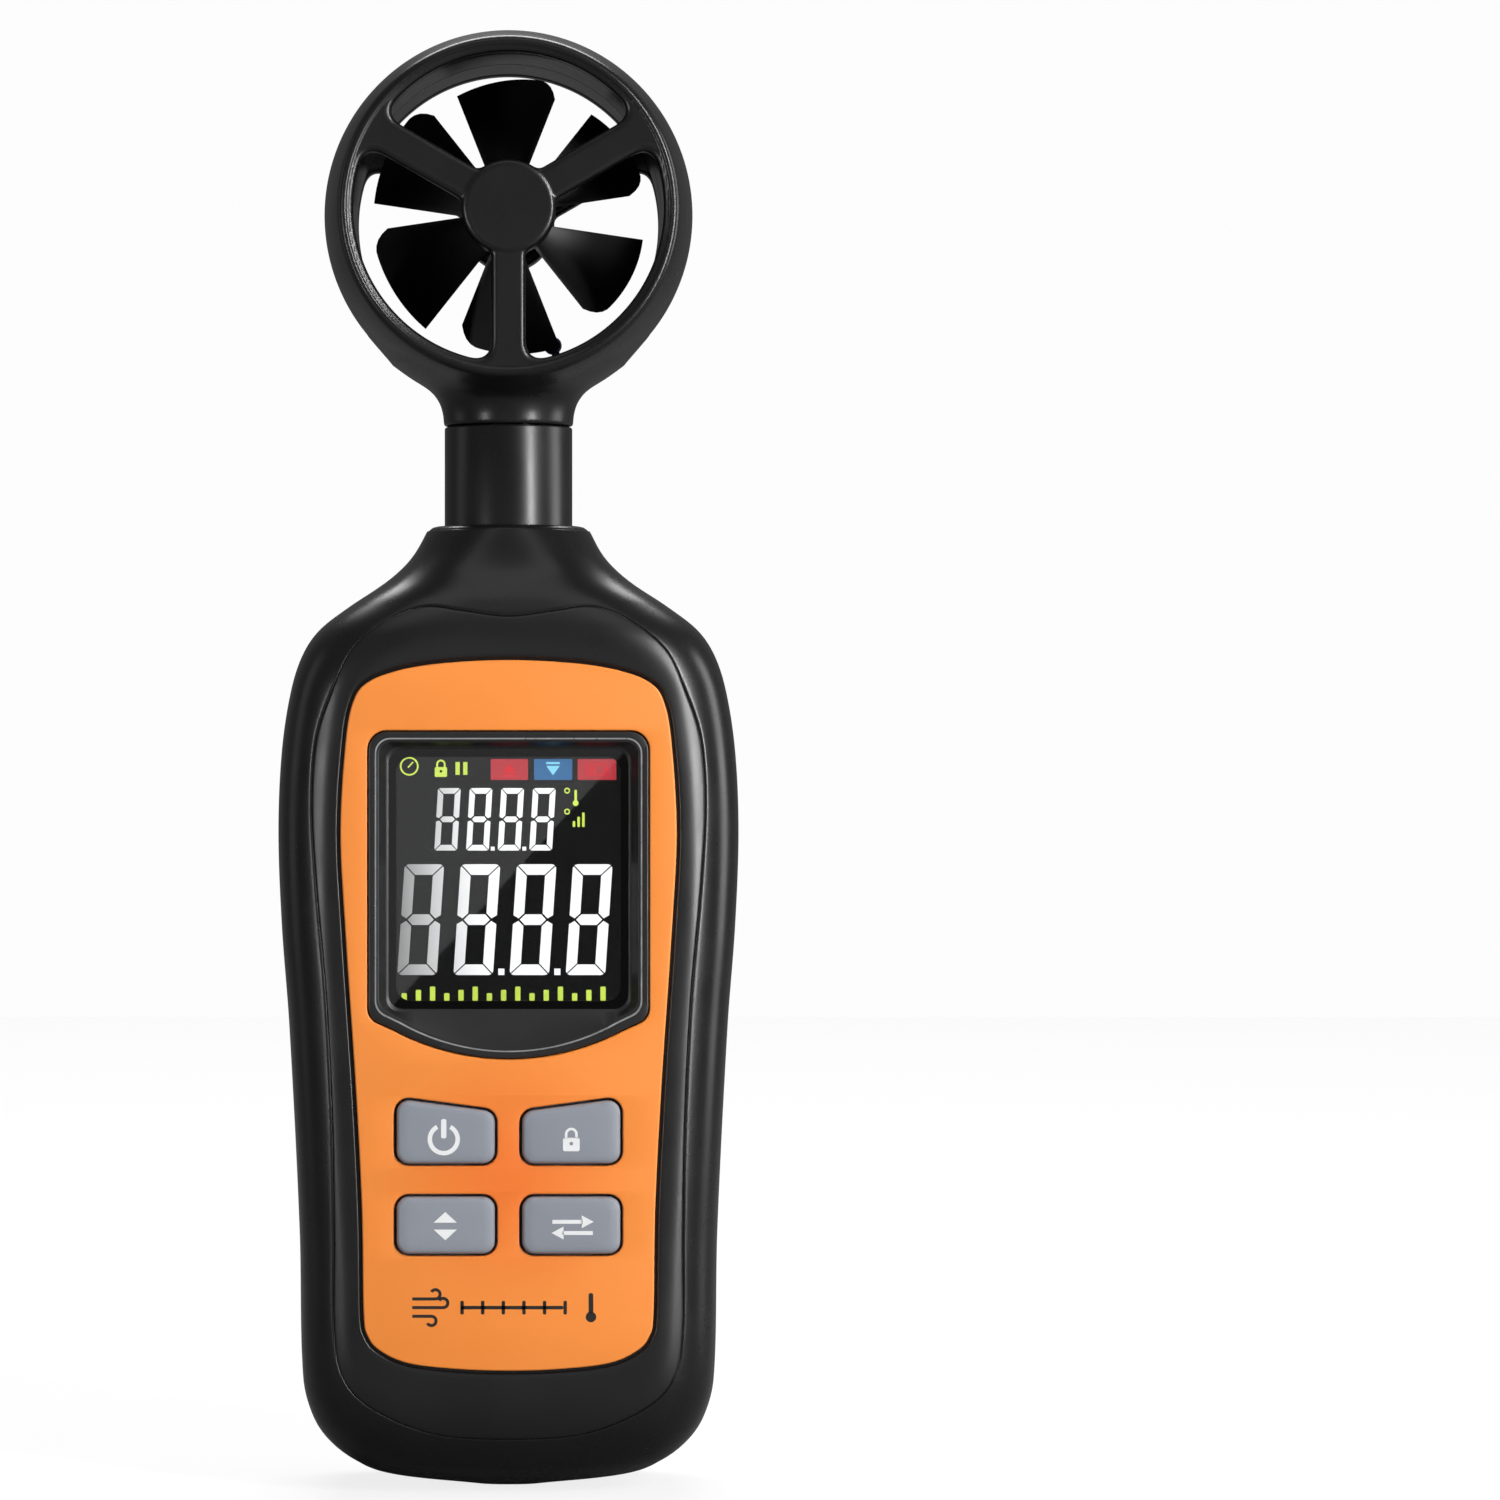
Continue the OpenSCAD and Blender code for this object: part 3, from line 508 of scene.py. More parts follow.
abs_black = moulded("abs_black", (0.0085, 0.0085, 0.0088), (0.0115, 0.0115, 0.012), (0.27, 0.33))
head_black = moulded("head_black", (0.0055, 0.0057, 0.006), (0.0075, 0.0075, 0.008), (0.26, 0.32))
rubber_black = moulded("rubber_black", (0.0055, 0.0055, 0.0058), (0.0075, 0.0075, 0.0078), (0.24, 0.30),
                       grain=3200, grain_depth=0.0000012)
impeller_black = moulded("impeller_black", (0.002, 0.002, 0.0022), (0.0032, 0.0032, 0.0034), (0.45, 0.55),
                         Specular_IOR_Level=0.25)
def shaded_orange_material():
    """Orange panel plastic, with painted shade: a deeper orange where the buttons sit."""
    n = Nodes("orange")
    # Painted shade: the orange deepens towards the buttons' middle, fully within 2 mm and fading out by 15 mm.
    moved = n.add("ShaderNodeMapping", [("Vector", n.place)], Location=(0, 0, -0.037), Scale=(1, 0, 1))
    away = n.add("ShaderNodeVectorMath", [("Vector", moved.outputs["Vector"])], operation="LENGTH")
    near = n.ranged(away.outputs["Value"], 1, 0, 0.002, 0.015)
    mottle = n.mixed(n.ranged(n.noise(35, 4), 0, 1), (0.98, 0.288, 0.045), (1.0, 0.310, 0.054))
    mix = n.add("ShaderNodeMix", data_type="RGBA")
    n.tree.links.new(near, mix.inputs[0])
    n.tree.links.new(mottle, mix.inputs[6])
    # Deeper orange of the painted shade round the buttons.
    mix.inputs[7].default_value = (0.97, 0.214, 0.029, 1)
    n.link(mix.outputs[2], "Base Color")
    n.link(n.ranged(n.noise(80, 3), 0.40, 0.48), "Roughness")
    n.link(n.bump(n.noise(3000, 3, 0.6), 0.0000012), "Normal")
    return n.material


orange = shaded_orange_material()
bezel_black = moulded("bezel_black", (0.011, 0.011, 0.012), (0.015, 0.015, 0.016), (0.36, 0.44), grain=1800,
                      grain_depth=0.000001)
button_grey = moulded("button_grey", (0.262, 0.285, 0.330), (0.292, 0.315, 0.362), (0.42, 0.5),
                      grain=2400, grain_depth=0.000012)
legend_white = moulded("legend_white", (0.86, 0.87, 0.88), (0.92, 0.93, 0.94), (0.4, 0.5))
legend_black = moulded("legend_black", (0.012, 0.01, 0.009), (0.02, 0.018, 0.016), (0.4, 0.5))
silver_line = metal("silver_line", (0.82, 0.82, 0.83), (0.25, 0.4))
screen_black = moulded("screen_black", (0.0012, 0.0012, 0.0013), (0.002, 0.002, 0.0022), (0.2, 0.28),
                       grain=1500, grain_depth=0.000001, Specular_IOR_Level=0.1)
lcd_white = glare_dimmed_white()
lcd_lime = glowing("lcd_lime", (0.66, 0.86, 0.10), 1.0, 0.8)
lcd_red = glowing("lcd_red", (0.62, 0.035, 0.05), 0.85)
lcd_blue = glowing("lcd_blue", (0.03, 0.17, 0.40), 0.9)
lcd_pale_blue = glowing("lcd_pale_blue", (0.28, 0.75, 0.95), 1.0)
lcd_deep_red = glowing("lcd_deep_red", (0.75, 0.01, 0.02), 1.0)
foam_grey = moulded("foam_grey", (0.03, 0.03, 0.03), (0.06, 0.06, 0.06), (0.9, 1.0), grain=900,
                    grain_depth=0.0001)
dark_plastic = moulded("dark_plastic", (0.015, 0.015, 0.015), (0.024, 0.024, 0.024), (0.4, 0.5))
ivory = moulded("ivory", (0.66, 0.62, 0.5), (0.74, 0.70, 0.58), (0.35, 0.45))
steel = metal("steel", (0.62, 0.62, 0.63))
brass = metal("brass", (0.75, 0.52, 0.2))
magnet_grey = metal("magnet_grey", (0.2, 0.2, 0.21), (0.4, 0.5))
wire_red = moulded("wire_red", (0.45, 0.02, 0.015), (0.55, 0.03, 0.02), (0.35, 0.45))
wire_black = moulded("wire_black", (0.012, 0.012, 0.012), (0.02, 0.02, 0.02), (0.4, 0.5))
epoxy_blue = moulded("epoxy_blue", (0.02, 0.06, 0.16), (0.03, 0.08, 0.2), (0.15, 0.25))


def board_material():
    """Green solder mask over copper tracks."""
    n = Nodes("board_green")
    tracks = n.add("ShaderNodeTexBrick", [("Vector", n.place)], Scale=260)
    tracks.inputs["Mortar Size"].default_value = 0.05
    tracks.inputs["Color1"].default_value = (0.008, 0.085, 0.03, 1)
    tracks.inputs["Color2"].default_value = (0.01, 0.10, 0.035, 1)
    tracks.inputs["Mortar"].default_value = (0.03, 0.2, 0.07, 1)
    n.link(tracks.outputs["Color"], "Base Color")
    n.link(n.ranged(n.noise(300), 0.2, 0.35), "Roughness")
    n.link(n.bump(tracks.outputs["Fac"], 0.00003), "Normal")
    return n.material


def glass_material():
    """Hard-coated clear window: faint haze, uneven by a hair."""
    n = Nodes("window_clear")
    n.link(n.mixed(n.noise(30, 2), (0.93, 0.94, 0.95), (0.97, 0.98, 0.99)), "Base Color")
    n.link(n.ranged(n.noise(80, 3), 0.0, 0.02), "Roughness")
    n.shader.inputs["Transmission Weight"].default_value = 1.0
    n.shader.inputs["IOR"].default_value = 1.46
    return n.material


def cell_material():
    """Cell jacket: a green sleeve, its tone varied by noise, under a clear coat."""
    n = Nodes("cell_jacket")
    n.link(n.mixed(n.noise(120, 3), (0.01, 0.18, 0.065), (0.015, 0.23, 0.085)), "Base Color")
    n.link(n.ranged(n.noise(200), 0.2, 0.3), "Roughness")
    n.link(n.bump(n.noise(90, 2), 0.00003), "Normal")
    n.shader.inputs["Coat Weight"].default_value = 0.6
    return n.material


board_green = board_material()
window_clear = glass_material()
cell_green = cell_material()
champagne = metal("champagne", (0.72, 0.62, 0.46), (0.22, 0.3))

# ------------------------------------------------------------------ body shells

AROUND = 480  # points round each outline
SEAM = resampled(smooth(mirrored(FIELD)), AROUND)
PANEL = resampled(smooth(mirrored(FASCIA)), AROUND)
MIDDLE_Z = 55
# Rolled edge beside a seam: [share of the strip's width, depth below the surface]
ROLL = [(0, 0.7), (0.0006, 0.42), (0.004, 0.2), (0.010, 0.07), (0.019, 0.012), (0.03, 0)]
PARTING = 0.18  # depth of the line where the two halves of the skin meet


def normals_of(grid):
    """Outward normals of a grid of points shaped [rows, around, 3]."""
    along = np.gradient(grid, axis=0)
    around = np.roll(grid, -1, axis=1) - np.roll(grid, 1, axis=1)
    n = np.cross(along, around)
    n /= np.maximum(np.linalg.norm(n, axis=2, keepdims=True), 1e-9)
    outward = grid - np.array([0, 0, MIDDLE_Z]) * np.array([1, 1, 1])
    outward[..., 2] *= 0.3
    flip = np.sign((n * outward).sum(2))
    flip[flip == 0] = 1
    return n * flip[..., None]


def thickened(obj, thickness):
    """Give a surface its thickness inwards, as a closed mesh."""
    solid = obj.modifiers.new("thickness", "SOLIDIFY")
    solid.thickness = thickness * MM
    solid.offset = -1
    bpy.context.view_layer.update()
    mesh = bpy.data.meshes.new_from_object(obj.evaluated_get(bpy.context.evaluated_depsgraph_get()))
    obj.modifiers.remove(solid)
    old = obj.data
    obj.data = mesh
    bpy.data.meshes.remove(old)
    mesh.name = obj.name
    return obj


def skin_shell(name, side, node):
    """Soft skin on one half: from the seam out to the parting plane and both ends."""
    seam = np.array([(share_at(x, z, side), z) for x, z in SEAM])
    reach = np.column_stack([(seam[:, 0] - 0.5) / 0.5, np.where(
        seam[:, 1] > MIDDLE_Z, (seam[:, 1] - MIDDLE_Z) / (BODY_TOP - MIDDLE_Z),
        (seam[:, 1] - MIDDLE_Z) / MIDDLE_Z)])
    centre = np.array([0.5, MIDDLE_Z])
    edge = centre + (seam - centre) / np.abs(reach).max(1)[:, None]
    for corner in ((0, 0), (1, 0), (0, BODY_TOP), (1, BODY_TOP)):
        gap = np.hypot(edge[:, 0] - corner[0], (edge[:, 1] - corner[1]) / BODY_TOP)
        edge[gap.argmin()] = corner
    shares = [t for t, _ in ROLL] + list(np.linspace(0.05, 0.96, 38)) + [0.985, 0.994, 1]
    depths = [d for _, d in ROLL] + [0] * 38 + [0.01, 0.05, PARTING]
    grid = np.zeros((len(shares), AROUND, 3))
    for i, t in enumerate(shares):
        at = seam + (edge - seam) * t
        for k, (u, z) in enumerate(at):
            x, y = on_section(z, u, side)
            grid[i, k] = x, side * y, z
    normal = normals_of(grid)
    drop = np.array(depths)[:, None] * np.ones(AROUND)
    at_end = (edge[:, 1] < 0.01) | (edge[:, 1] > BODY_TOP - 0.01)
    drop[-3:, at_end] = 0
    grid -= normal * drop[..., None]
    grid[..., 1] = side * np.maximum(side * grid[..., 1], 0)
    obj = piece(name, grid.reshape(-1, 3), strip_faces(len(shares), AROUND), rubber_black, "body",
                [node], sharp=60)
    return thickened(obj, 1.0)


def hard_field(name, side, node, inner, inner_rows, holes=()):
    """Hard face inside the seam, out from an inner outline; inner_rows are [share, outward, depth]."""
    shares = [t for t, _ in ROLL] + list(np.linspace(0.08, 0.92, 14))
    depths = [d for _, d in ROLL] + [0] * 14
    start = inner(inner_rows[0][0])
    rows = []
    for t, d in zip(shares, depths):
        flat = SEAM + (start - SEAM) * t
        rows.append((flat, d))
    rows += [(inner(grow), d) for grow, d in inner_rows]
    verts = [np.column_stack([o[:, 0], side * (face_y(o[:, 0], o[:, 1], side) - d), o[:, 1]]) for o, d in rows]
    obj = piece(name, np.vstack(verts), strip_faces(len(rows), AROUND), abs_black, "body", [node], sharp=50)
    if holes:
        drilled(obj, holes, 2.5)
    return thickened(obj, 0.8)


def drilled(obj, places, r):
    """Cut round holes through a thin face: slice it along each hole's rim, then delete the faces inside."""
    mesh = obj.data
    bm = bmesh.new()
    bm.from_mesh(mesh)
    for x, z in places:
        cutter = [(x * MM + r * MM * math.cos(a), z * MM + r * MM * math.sin(a))
                  for a in np.linspace(0, 2 * math.pi, 32, endpoint=False)]
        for i, (px, pz) in enumerate(cutter):
            qx, qz = cutter[(i + 1) % len(cutter)]
            normal = Vector((qz - pz, 0, -(qx - px))).normalized()
            near = [f for f in bm.faces if (f.calc_center_median().xz - Vector((x, z)) * MM).length < (r + 3) * MM]
            geom = list({e for f in near for e in f.edges} | {v for f in near for v in f.verts}) + near
            bmesh.ops.bisect_plane(bm, geom=geom, dist=1e-8, plane_co=(px, 0, pz), plane_no=normal)
        gone = [f for f in bm.faces if (f.calc_center_median().xz - Vector((x, z)) * MM).length < r * 0.985 * MM]
        bmesh.ops.delete(bm, geom=gone, context="FACES")
    bm.to_mesh(mesh)
    bm.free()


def panel_at(grow):
    return inset(PANEL, -grow)


skin_shell("skin_front", FRONT, "front_overmould")
skin_shell("skin_rear", REAR, "rear_overmould")
hard_field("face_front", FRONT, "front_housing", panel_at,
           [(0.5, 0), (0.36, 0.03), (0.28, 0.12), (0.26, 0.3), (0.26, 0.85), (-1.2, 0.9)])

DOOR_HALF = high("battery_door").x
DOOR_LOW = 14.7
DOOR_HIGH = high("battery_door").z


def door_outline(grow, r=1.5):
    w, a, b = DOOR_HALF + grow, DOOR_LOW - grow, DOOR_HIGH + grow
    return from_top(rounded([(w, b), (w, a), (-w, a), (-w, b)], r), AROUND)


SCREWS = [(-9, 10.4), (9, 10.4), (-20.2, 79), (20.2, 79)]
hard_field("face_rear", REAR, "rear_housing", door_outline,
           [(1.2, 0), (0.5, 0), (0.34, 0.06), (0.3, 0.2), (0.3, 1.8), (-0.6, 1.8)], holes=SCREWS)


def bay_outline(grow):
    w, a, b = 17 + grow, 15.4 - grow, 66.6 + grow
    return from_top(rounded([(w, b), (w, a), (-w, a), (-w, b)], 0.6), 160)


tray = [at_y(bay_outline(1.2), 2.5), at_y(bay_outline(1.2), 14.8), at_y(bay_outline(1.1), 14.9),
        at_y(bay_outline(0.15), 14.9), at_y(bay_outline(0), 14.75), at_y(bay_outline(0), 4.2),
        at_y(bay_outline(-0.5), 3.7)]
for row in tray:  # notches that the door's tabs swing through
    notch = (np.abs(np.abs(row[:, 0]) - 13) < 2.2) & (row[:, 2] < 15.6)
    row[notch, 1] = np.minimum(row[notch, 1], 13.4)
ring_piece("battery_tray", tray, abs_black, "body", cap_first=True, cap_last=True)
for i, (x, z) in enumerate(SCREWS):
    well = [(2.5, 17), (2.5, 13), (2.45, 12.9), (1.3, 12.85), (1.3, 0.3), (2.2, 0.3), (2.2, 12), (3, 12.4), (3, 15.6)]
    rows = [np.column_stack([x + p[:, 0], p[:, 2], z + p[:, 1]]) for p in lathe(
        [(r, min(y, float(face_y(x, z, REAR)) - 0.25)) for r, y in well], 48)]
    ring_piece(f"screw_well_{i + 1}", rows + [rows[0]], abs_black, "body")

lip = [(7.8, 108), (7.8, 112.3), (7.9, 112.75), (8.2, 113.05), (8.6, 113.15), (9.0, 113.05), (9.35, 112.8),
       (9.62, 112.5), (9.6, 111.6), (9.2, 110.5), (8.8, 108), (7.8, 108)]
ring_piece("skin_collar", lathe(lip, 128), rubber_black, "body", sharp=50)

foot = np.array([(x, FRONT * y) for x, y in zip(*section(0, FRONT)[:2])]
                + [(x, y) for x, y in list(zip(*section(0, REAR)[:2]))[-2:0:-1]])
foot_rows = [np.column_stack([foot * s, np.full(len(foot), z)]) for s, z in ((0.95, 1.0), (0.995, 0.4), (0.99, 0.05), (0.96, 0.0))]
ring_piece("skin_foot", foot_rows, rubber_black, "body", cap_first=True, cap_last=True)

# ------------------------------------------------------------------ panel, bezel and display

BEZEL = dict(half=16.3, top=88.75, corner=55.4, drop=4.7, chin=15.6)


def bezel_outline(by, steps=8):
    """Straight top and sides with rounded corners, and a chin on an arc."""
    w, top, low_z, c = BEZEL["half"] + by, BEZEL["top"] + by, BEZEL["corner"] - by, BEZEL["chin"] + by
    r = (c * c + BEZEL["drop"]**2) / (2 * BEZEL["drop"])
    arc = math.asin(c / r)
    reach = 0.84 * arc
    turn_in = np.array([r * math.sin(reach), low_z - BEZEL["drop"] + r - r * math.cos(reach)])
    chin = [(r * math.sin(a), low_z - BEZEL["drop"] + r - r * math.cos(a)) for a in np.linspace(-reach, reach, 24)]
    right = rounded([turn_in, (w, low_z), (w, top), (0, top)], [0.01, 1.9, 2.2 + min(by, 0) * 0.6, 0.01], 10)[11:33]
    left = [(-x, z) for x, z in right[::-1]]
    return np.array(list(right) + left + chin)


def window_outline(by):
    w, a, b = 14 + by, 56.4 - by, 86.7 + by
    return rounded([(w, b), (w, a), (-w, a), (-w, b)], 1.7)


BUTTONS = {
    "hold": [(1.6, 38.5), (1.6, 44.5), (13, 46), (13, 38.5)],
    "units": [(1.6, 28), (1.6, 34.6), (13, 34.6), (13, 28)],
}
BUTTONS["power"] = [(-x, z) for x, z in BUTTONS["hold"][::-1]]
BUTTONS["min_max"] = [(-x, z) for x, z in BUTTONS["units"][::-1]]


def button_outline(name, by, count=160):
    outline = from_top(rounded(BUTTONS[name], 1.4, 10), count)
    if by < -0.5:
        middle = (outline.min(0) + outline.max(0)) / 2
        return middle + (outline - middle) * (1 + by / 4)
    return inset(outline, -by)


holes = [bezel_outline(0.12)] + [button_outline(n, 0.3) for n in BUTTONS]
plate("panel_orange", [inset(PANEL, 0.12)] + holes, FASCIA_Y, FASCIA_BACK, 0.22, orange, "body",
      ["fascia_panel"])

BEZEL_BACK = high("display_bezel").y
frame_rows = [(0, BEZEL_BACK), (0, BEZEL_Y + 0.14), (-0.05, BEZEL_Y + 0.04), (-0.15, BEZEL_Y), (-1.05, BEZEL_Y),
              (-1.2, BEZEL_Y + 0.05)]
window_rows = [(0.32, WINDOW_Y - 0.3), (0.06, WINDOW_Y - 0.12), (0, WINDOW_Y - 0.1), (0, BEZEL_BACK)]
count = 400
rows = [at_y(from_top(bezel_outline(by), count), y) for by, y in frame_rows]
rows += [at_y(from_top(window_outline(by), count), y) for by, y in window_rows]
ring_piece("bezel", rows + [rows[0]], bezel_black, "body", ["display_bezel"], sharp=20)

line_rows = [at_y(from_top(bezel_outline(by), count), y) for by, y in
             ((-0.74, BEZEL_Y + 0.05), (-0.74, BEZEL_Y - 0.03), (-0.9, BEZEL_Y - 0.03), (-0.9, BEZEL_Y + 0.05))]
ring_piece("bezel_pinstripe", line_rows + [line_rows[0]], silver_line, "body")


def ink(name, outlines, y, material, body="body", thickness=0.04, dome=None):
    """Thin printed or lit shapes; each entry of outlines is a list of an outline and its holes."""
    meshes = []
    for i, group in enumerate(outlines):
        meshes.append(plate_mesh(f"{name}_{i}", [np.asarray(o, float) for o in group], y - thickness, y, 0.0))
    bm = bmesh.new()
    for m in meshes:
        bm.from_mesh(m)
        bpy.data.meshes.remove(m)
    if dome is not None:
        for v in bm.verts:
            v.co.y += dome(v.co.x / MM, v.co.z / MM) * MM
    mesh = bpy.data.meshes.new(name)
    bm.to_mesh(mesh)
    bm.free()
    return finish_piece(name, mesh, material, body)


def disc(x, z, r, count=40, start=0, end=360):
    a = np.radians(np.linspace(start, end, count, endpoint=False))
    return np.column_stack([x + r * np.cos(a), z + r * np.sin(a)])


def arc_band(x, z, r, width, start, end, count=32):
    a = np.radians(np.linspace(start, end, count))
    c = np.column_stack([np.cos(a), np.sin(a)])
    return np.vstack([c * (r + width / 2), c[::-1] * (r - width / 2)]) + [x, z]


def bar(x0, z0, x1, z1, width):
    """Straight stroke between two points."""
    d = np.array([x1 - x0, z1 - z0], float)
    n = np.array([-d[1], d[0]]) / np.linalg.norm(d) * width / 2
    a, b = np.array([x0, z0], float), np.array([x1, z1], float)
    return np.array([a + n, b + n, b - n, a - n])


SEGMENTS = {
    "0": "abcdef", "1": "bc", "2": "abged", "3": "abgcd", "4": "fgbc", "5": "afgcd", "6": "afgedc",
    "7": "abc", "8": "abcdefg", "9": "abcdfg",
}


def digit(char, x, z, w, h, s, slant):
    """Seven-segment figure with its lower left corner at x, z; strokes are s wide."""
    g = 0.1 + 0.03 * s
    m = h / 2
    r = 0.28 * s
    shapes = {
        "a": [(r + g, h), (w - r - g, h), (w - 0.35 * g - r * 0.4, h - 0.1 * s), (w - s - 0.4 * g, h - s), (s + 0.4 * g, h - s),
              (0.35 * g + r * 0.4, h - 0.1 * s)],
        "g": [(s * 0.5 + g * 1.2, m), (s + g, m + s / 2), (w - s - g, m + s / 2), (w - s * 0.5 - g * 1.2, m),
              (w - s - g, m - s / 2), (s + g, m - s / 2)],
        "f": [(0, h - r * 1.3), (r * 0.3, h - r * 0.7), (s, h - s - g), (s, m + s * 0.5 + g), (s * 0.5, m + g * 1.1), (0, m + s * 0.42)],
        "e": [(0, m - s * 0.42), (s * 0.5, m - g * 1.1), (s, m - s * 0.5 - g), (s, s + g), (r * 0.3, r * 0.7), (0, r * 1.3)],
    }
    shapes["b"] = [(w - px, pz) for px, pz in shapes["f"][::-1]]
    shapes["c"] = [(w - px, pz) for px, pz in shapes["e"][::-1]]
    shapes["d"] = [(px, h - pz) for px, pz in shapes["a"][::-1]]
    lean = math.tan(math.radians(slant))
    return [[[(x + px + pz * lean, z + pz) for px, pz in shapes[k]]] for k in SEGMENTS[char]]


def box_at(x0, x1, z0, z1):
    return np.array([(x0, z0), (x1, z0), (x1, z1), (x0, z1)], float)


INK_Y = LCD_Y - 0.01
large = []
for k in range(4):
    large += digit("8", -13.0 + 6.56 * k, 60.3, w=4.62, h=12.95, s=1.24, slant=3.8)
large += [[box_at(x, x + 0.72, 60.3, 61.05)] for x in (-1.2, 5.35)]
ink("readout_large", large, INK_Y, lcd_white)
small = []
for k in range(4):
    small += digit("8", -8.67 + 3.7 * k, 74.85, w=2.66, h=7.3, s=0.66, slant=3.4)
small += [[box_at(x, x + 0.45, 74.85, 75.3)] for x in (-2.07, 1.62)]
ink("readout_small", small, INK_Y, lcd_white)


def padlock(x, z, size):
    """Padlock drawn from its middle, size high."""
    w, b = size * 0.36, size * 0.08
    body = rounded([(x - w, z - size / 2), (x + w, z - size / 2), (x + w, z + b), (x - w, z + b)], size * 0.08, 3)
    shackle = np.vstack([arc_band(x, z + size * 0.24, size * 0.22, size * 0.11, 0, 180, 20)])
    legs = [[bar(x + s * size * 0.22, z + size * 0.24, x + s * size * 0.22, z + b * 0.7, size * 0.11)] for s in (-1, 1)]
    return [[body, disc(x, z - size * 0.17, size * 0.08, 16)], [shackle]] + legs


def arrow_head(x, z, w, h):
    return np.array([(x - w, z), (x + w, z), (x, z + h)], float)


def thermometer(x, z, size):
    bulb = disc(x, z - size * 0.32, size * 0.18, 28, 110, 430)
    return [[bulb], [rounded([(x - size * 0.08, z - size * 0.2), (x + size * 0.08, z - size * 0.2),
                              (x + size * 0.08, z + size * 0.5), (x - size * 0.08, z + size * 0.5)], size * 0.07, 4)]]


def wind(x, z, size, width):
    """Three streams of air, two of them curling over."""
    out = []
    for dz, length, turn in ((0.28, 0.75, 1), (0, 1.0, 1), (-0.28, 0.62, -1)):
        x1 = x + size * (length - 0.5)
        out.append([bar(x - size * 0.5, z + dz * size, x1, z + dz * size, width)])
        r = size * 0.15
        out.append([arc_band(x1, z + dz * size + turn * r, r, width, -90 * turn, (150 if turn > 0 else -150), 18)])
    return out


timer = [[disc(-11.6, 84.7, 1.1, 48), disc(-11.6, 84.7, 0.9, 48)], [bar(-11.75, 84.55, -11.15, 85.2, 0.17)]]
ticks = []
for k in range(15):
    x = -12.5 + 1.66 * k
    tall = 0.5 + 1.15 * (k % 3 + 1) / 3
    ticks.append([rounded(box_at(x, x + 0.62, 57.3, 57.3 + tall), 0.1, 2)])
signs = timer + padlock(-7.9, 84.45, 2.0) + [[box_at(-6.2 + 0.9 * k, -5.7 + 0.9 * k, 83.7, 85.2)] for k in range(2)]
signs += [[arc_band(x, z, 0.27, 0.16, 0, 350, 24)] for x, z in ((6.85, 81.85), (6.85, 79.4))]
signs += thermometer(7.85, 81.0, 1.9) + [[rounded(box_at(7.5 + 0.55 * k, 7.8 + 0.55 * k, 77.6, 78.3 + 0.5 * k), 0.1, 2)] for k in range(3)]
ink("readout_signs", signs + ticks, INK_Y, lcd_lime)
ink("readout_red", [[rounded(box_at(-2.08, 2.28, 83.1, 85.55), 0.12, 2)], [rounded(box_at(8.08, 12.6, 83.1, 85.55), 0.12, 2)]],
    INK_Y, lcd_red)
ink("readout_blue", [[rounded(box_at(2.98, 7.45, 83.1, 85.55), 0.12, 2)]], INK_Y, lcd_blue)
battery = [[box_at(9.05, 11.45, 83.65, 85.0), box_at(9.2, 11.3, 83.8, 84.85)[::-1]], [box_at(11.45, 11.7, 84.05, 84.6)]]
battery += [[box_at(9.35 + 0.5 * k, 9.65 + 0.5 * k, 83.95, 84.7)] for k in range(2)]
ink("readout_red_signs", [[arrow_head(0.1, 83.9, 0.8, 1.1)], [box_at(-0.7, 0.9, 83.45, 83.7)]] + battery, INK_Y - 0.05, lcd_deep_red)
ink("readout_blue_signs", [[arrow_head(5.2, 84.75, 0.8, -1.1)[::-1]], [box_at(4.4, 6.0, 84.95, 85.2)]], INK_Y - 0.05, lcd_pale_blue)

# ------------------------------------------------------------------ buttons

BUTTON_ROWS = [(0.7, -11.75), (0.7, -12.65), (0, -12.7), (0, -16.1), (-0.06, -16.32), (-0.2, -16.5), (-0.42, -16.6),
               (-1.0, -16.66), (-2.4, -16.7)]


def print_on(name, shapes, body):
    ink(f"legend_{name}", shapes, BUTTON_Y + 0.015, legend_white, body, 0.035)


legends = {
    "power": [[arc_band(-7.53, 41.35, 1.62, 0.52, 118, 422, 48)], [rounded(box_at(-7.84, -7.22, 41.45, 43.7), 0.2, 3)]],
    "hold": padlock(7.3, 41.3, 2.7),
    "min_max": [[arrow_head(-7.35, 31.65, 1.35, 1.25)], [arrow_head(-7.35, 30.85, 1.35, -1.25)[::-1]]],
    "units": [[bar(5.1, 31.75, 8.6, 31.75, 0.45)], [np.array([(8.5, 31.0), (9.9, 31.75), (8.5, 32.5)])],
              [bar(6.3, 30.45, 9.8, 30.45, 0.45)], [np.array([(6.4, 29.7), (6.4, 31.2), (5.0, 30.45)])]],
}
for name in BUTTONS:
    rows = [at_y(button_outline(name, by), y) for by, y in BUTTON_ROWS]
    ring_piece(f"key_{name}", rows, button_grey, f"button_{name}", [f"button_{name}"],
               cap_first=True, cap_last=True, sharp=40)
    print_on(name, legends[name], f"button_{name}")

panel_marks = wind(-9.4, 21.7, 3.6, 0.36) + thermometer(9.6, 21.7, 3.4)
panel_marks += [[rounded(box_at(-5.6, 6.4, 21.5, 21.9), 0.18, 3)]]
panel_marks += [[rounded(box_at(-5.6 + 2.4 * k, -5.2 + 2.4 * k, 20.9, 22.5), 0.15, 3)] for k in range(6)]
ink("panel_marks", panel_marks, FASCIA_Y + 0.015, legend_black, "body", 0.03)

# ------------------------------------------------------------------ neck and head

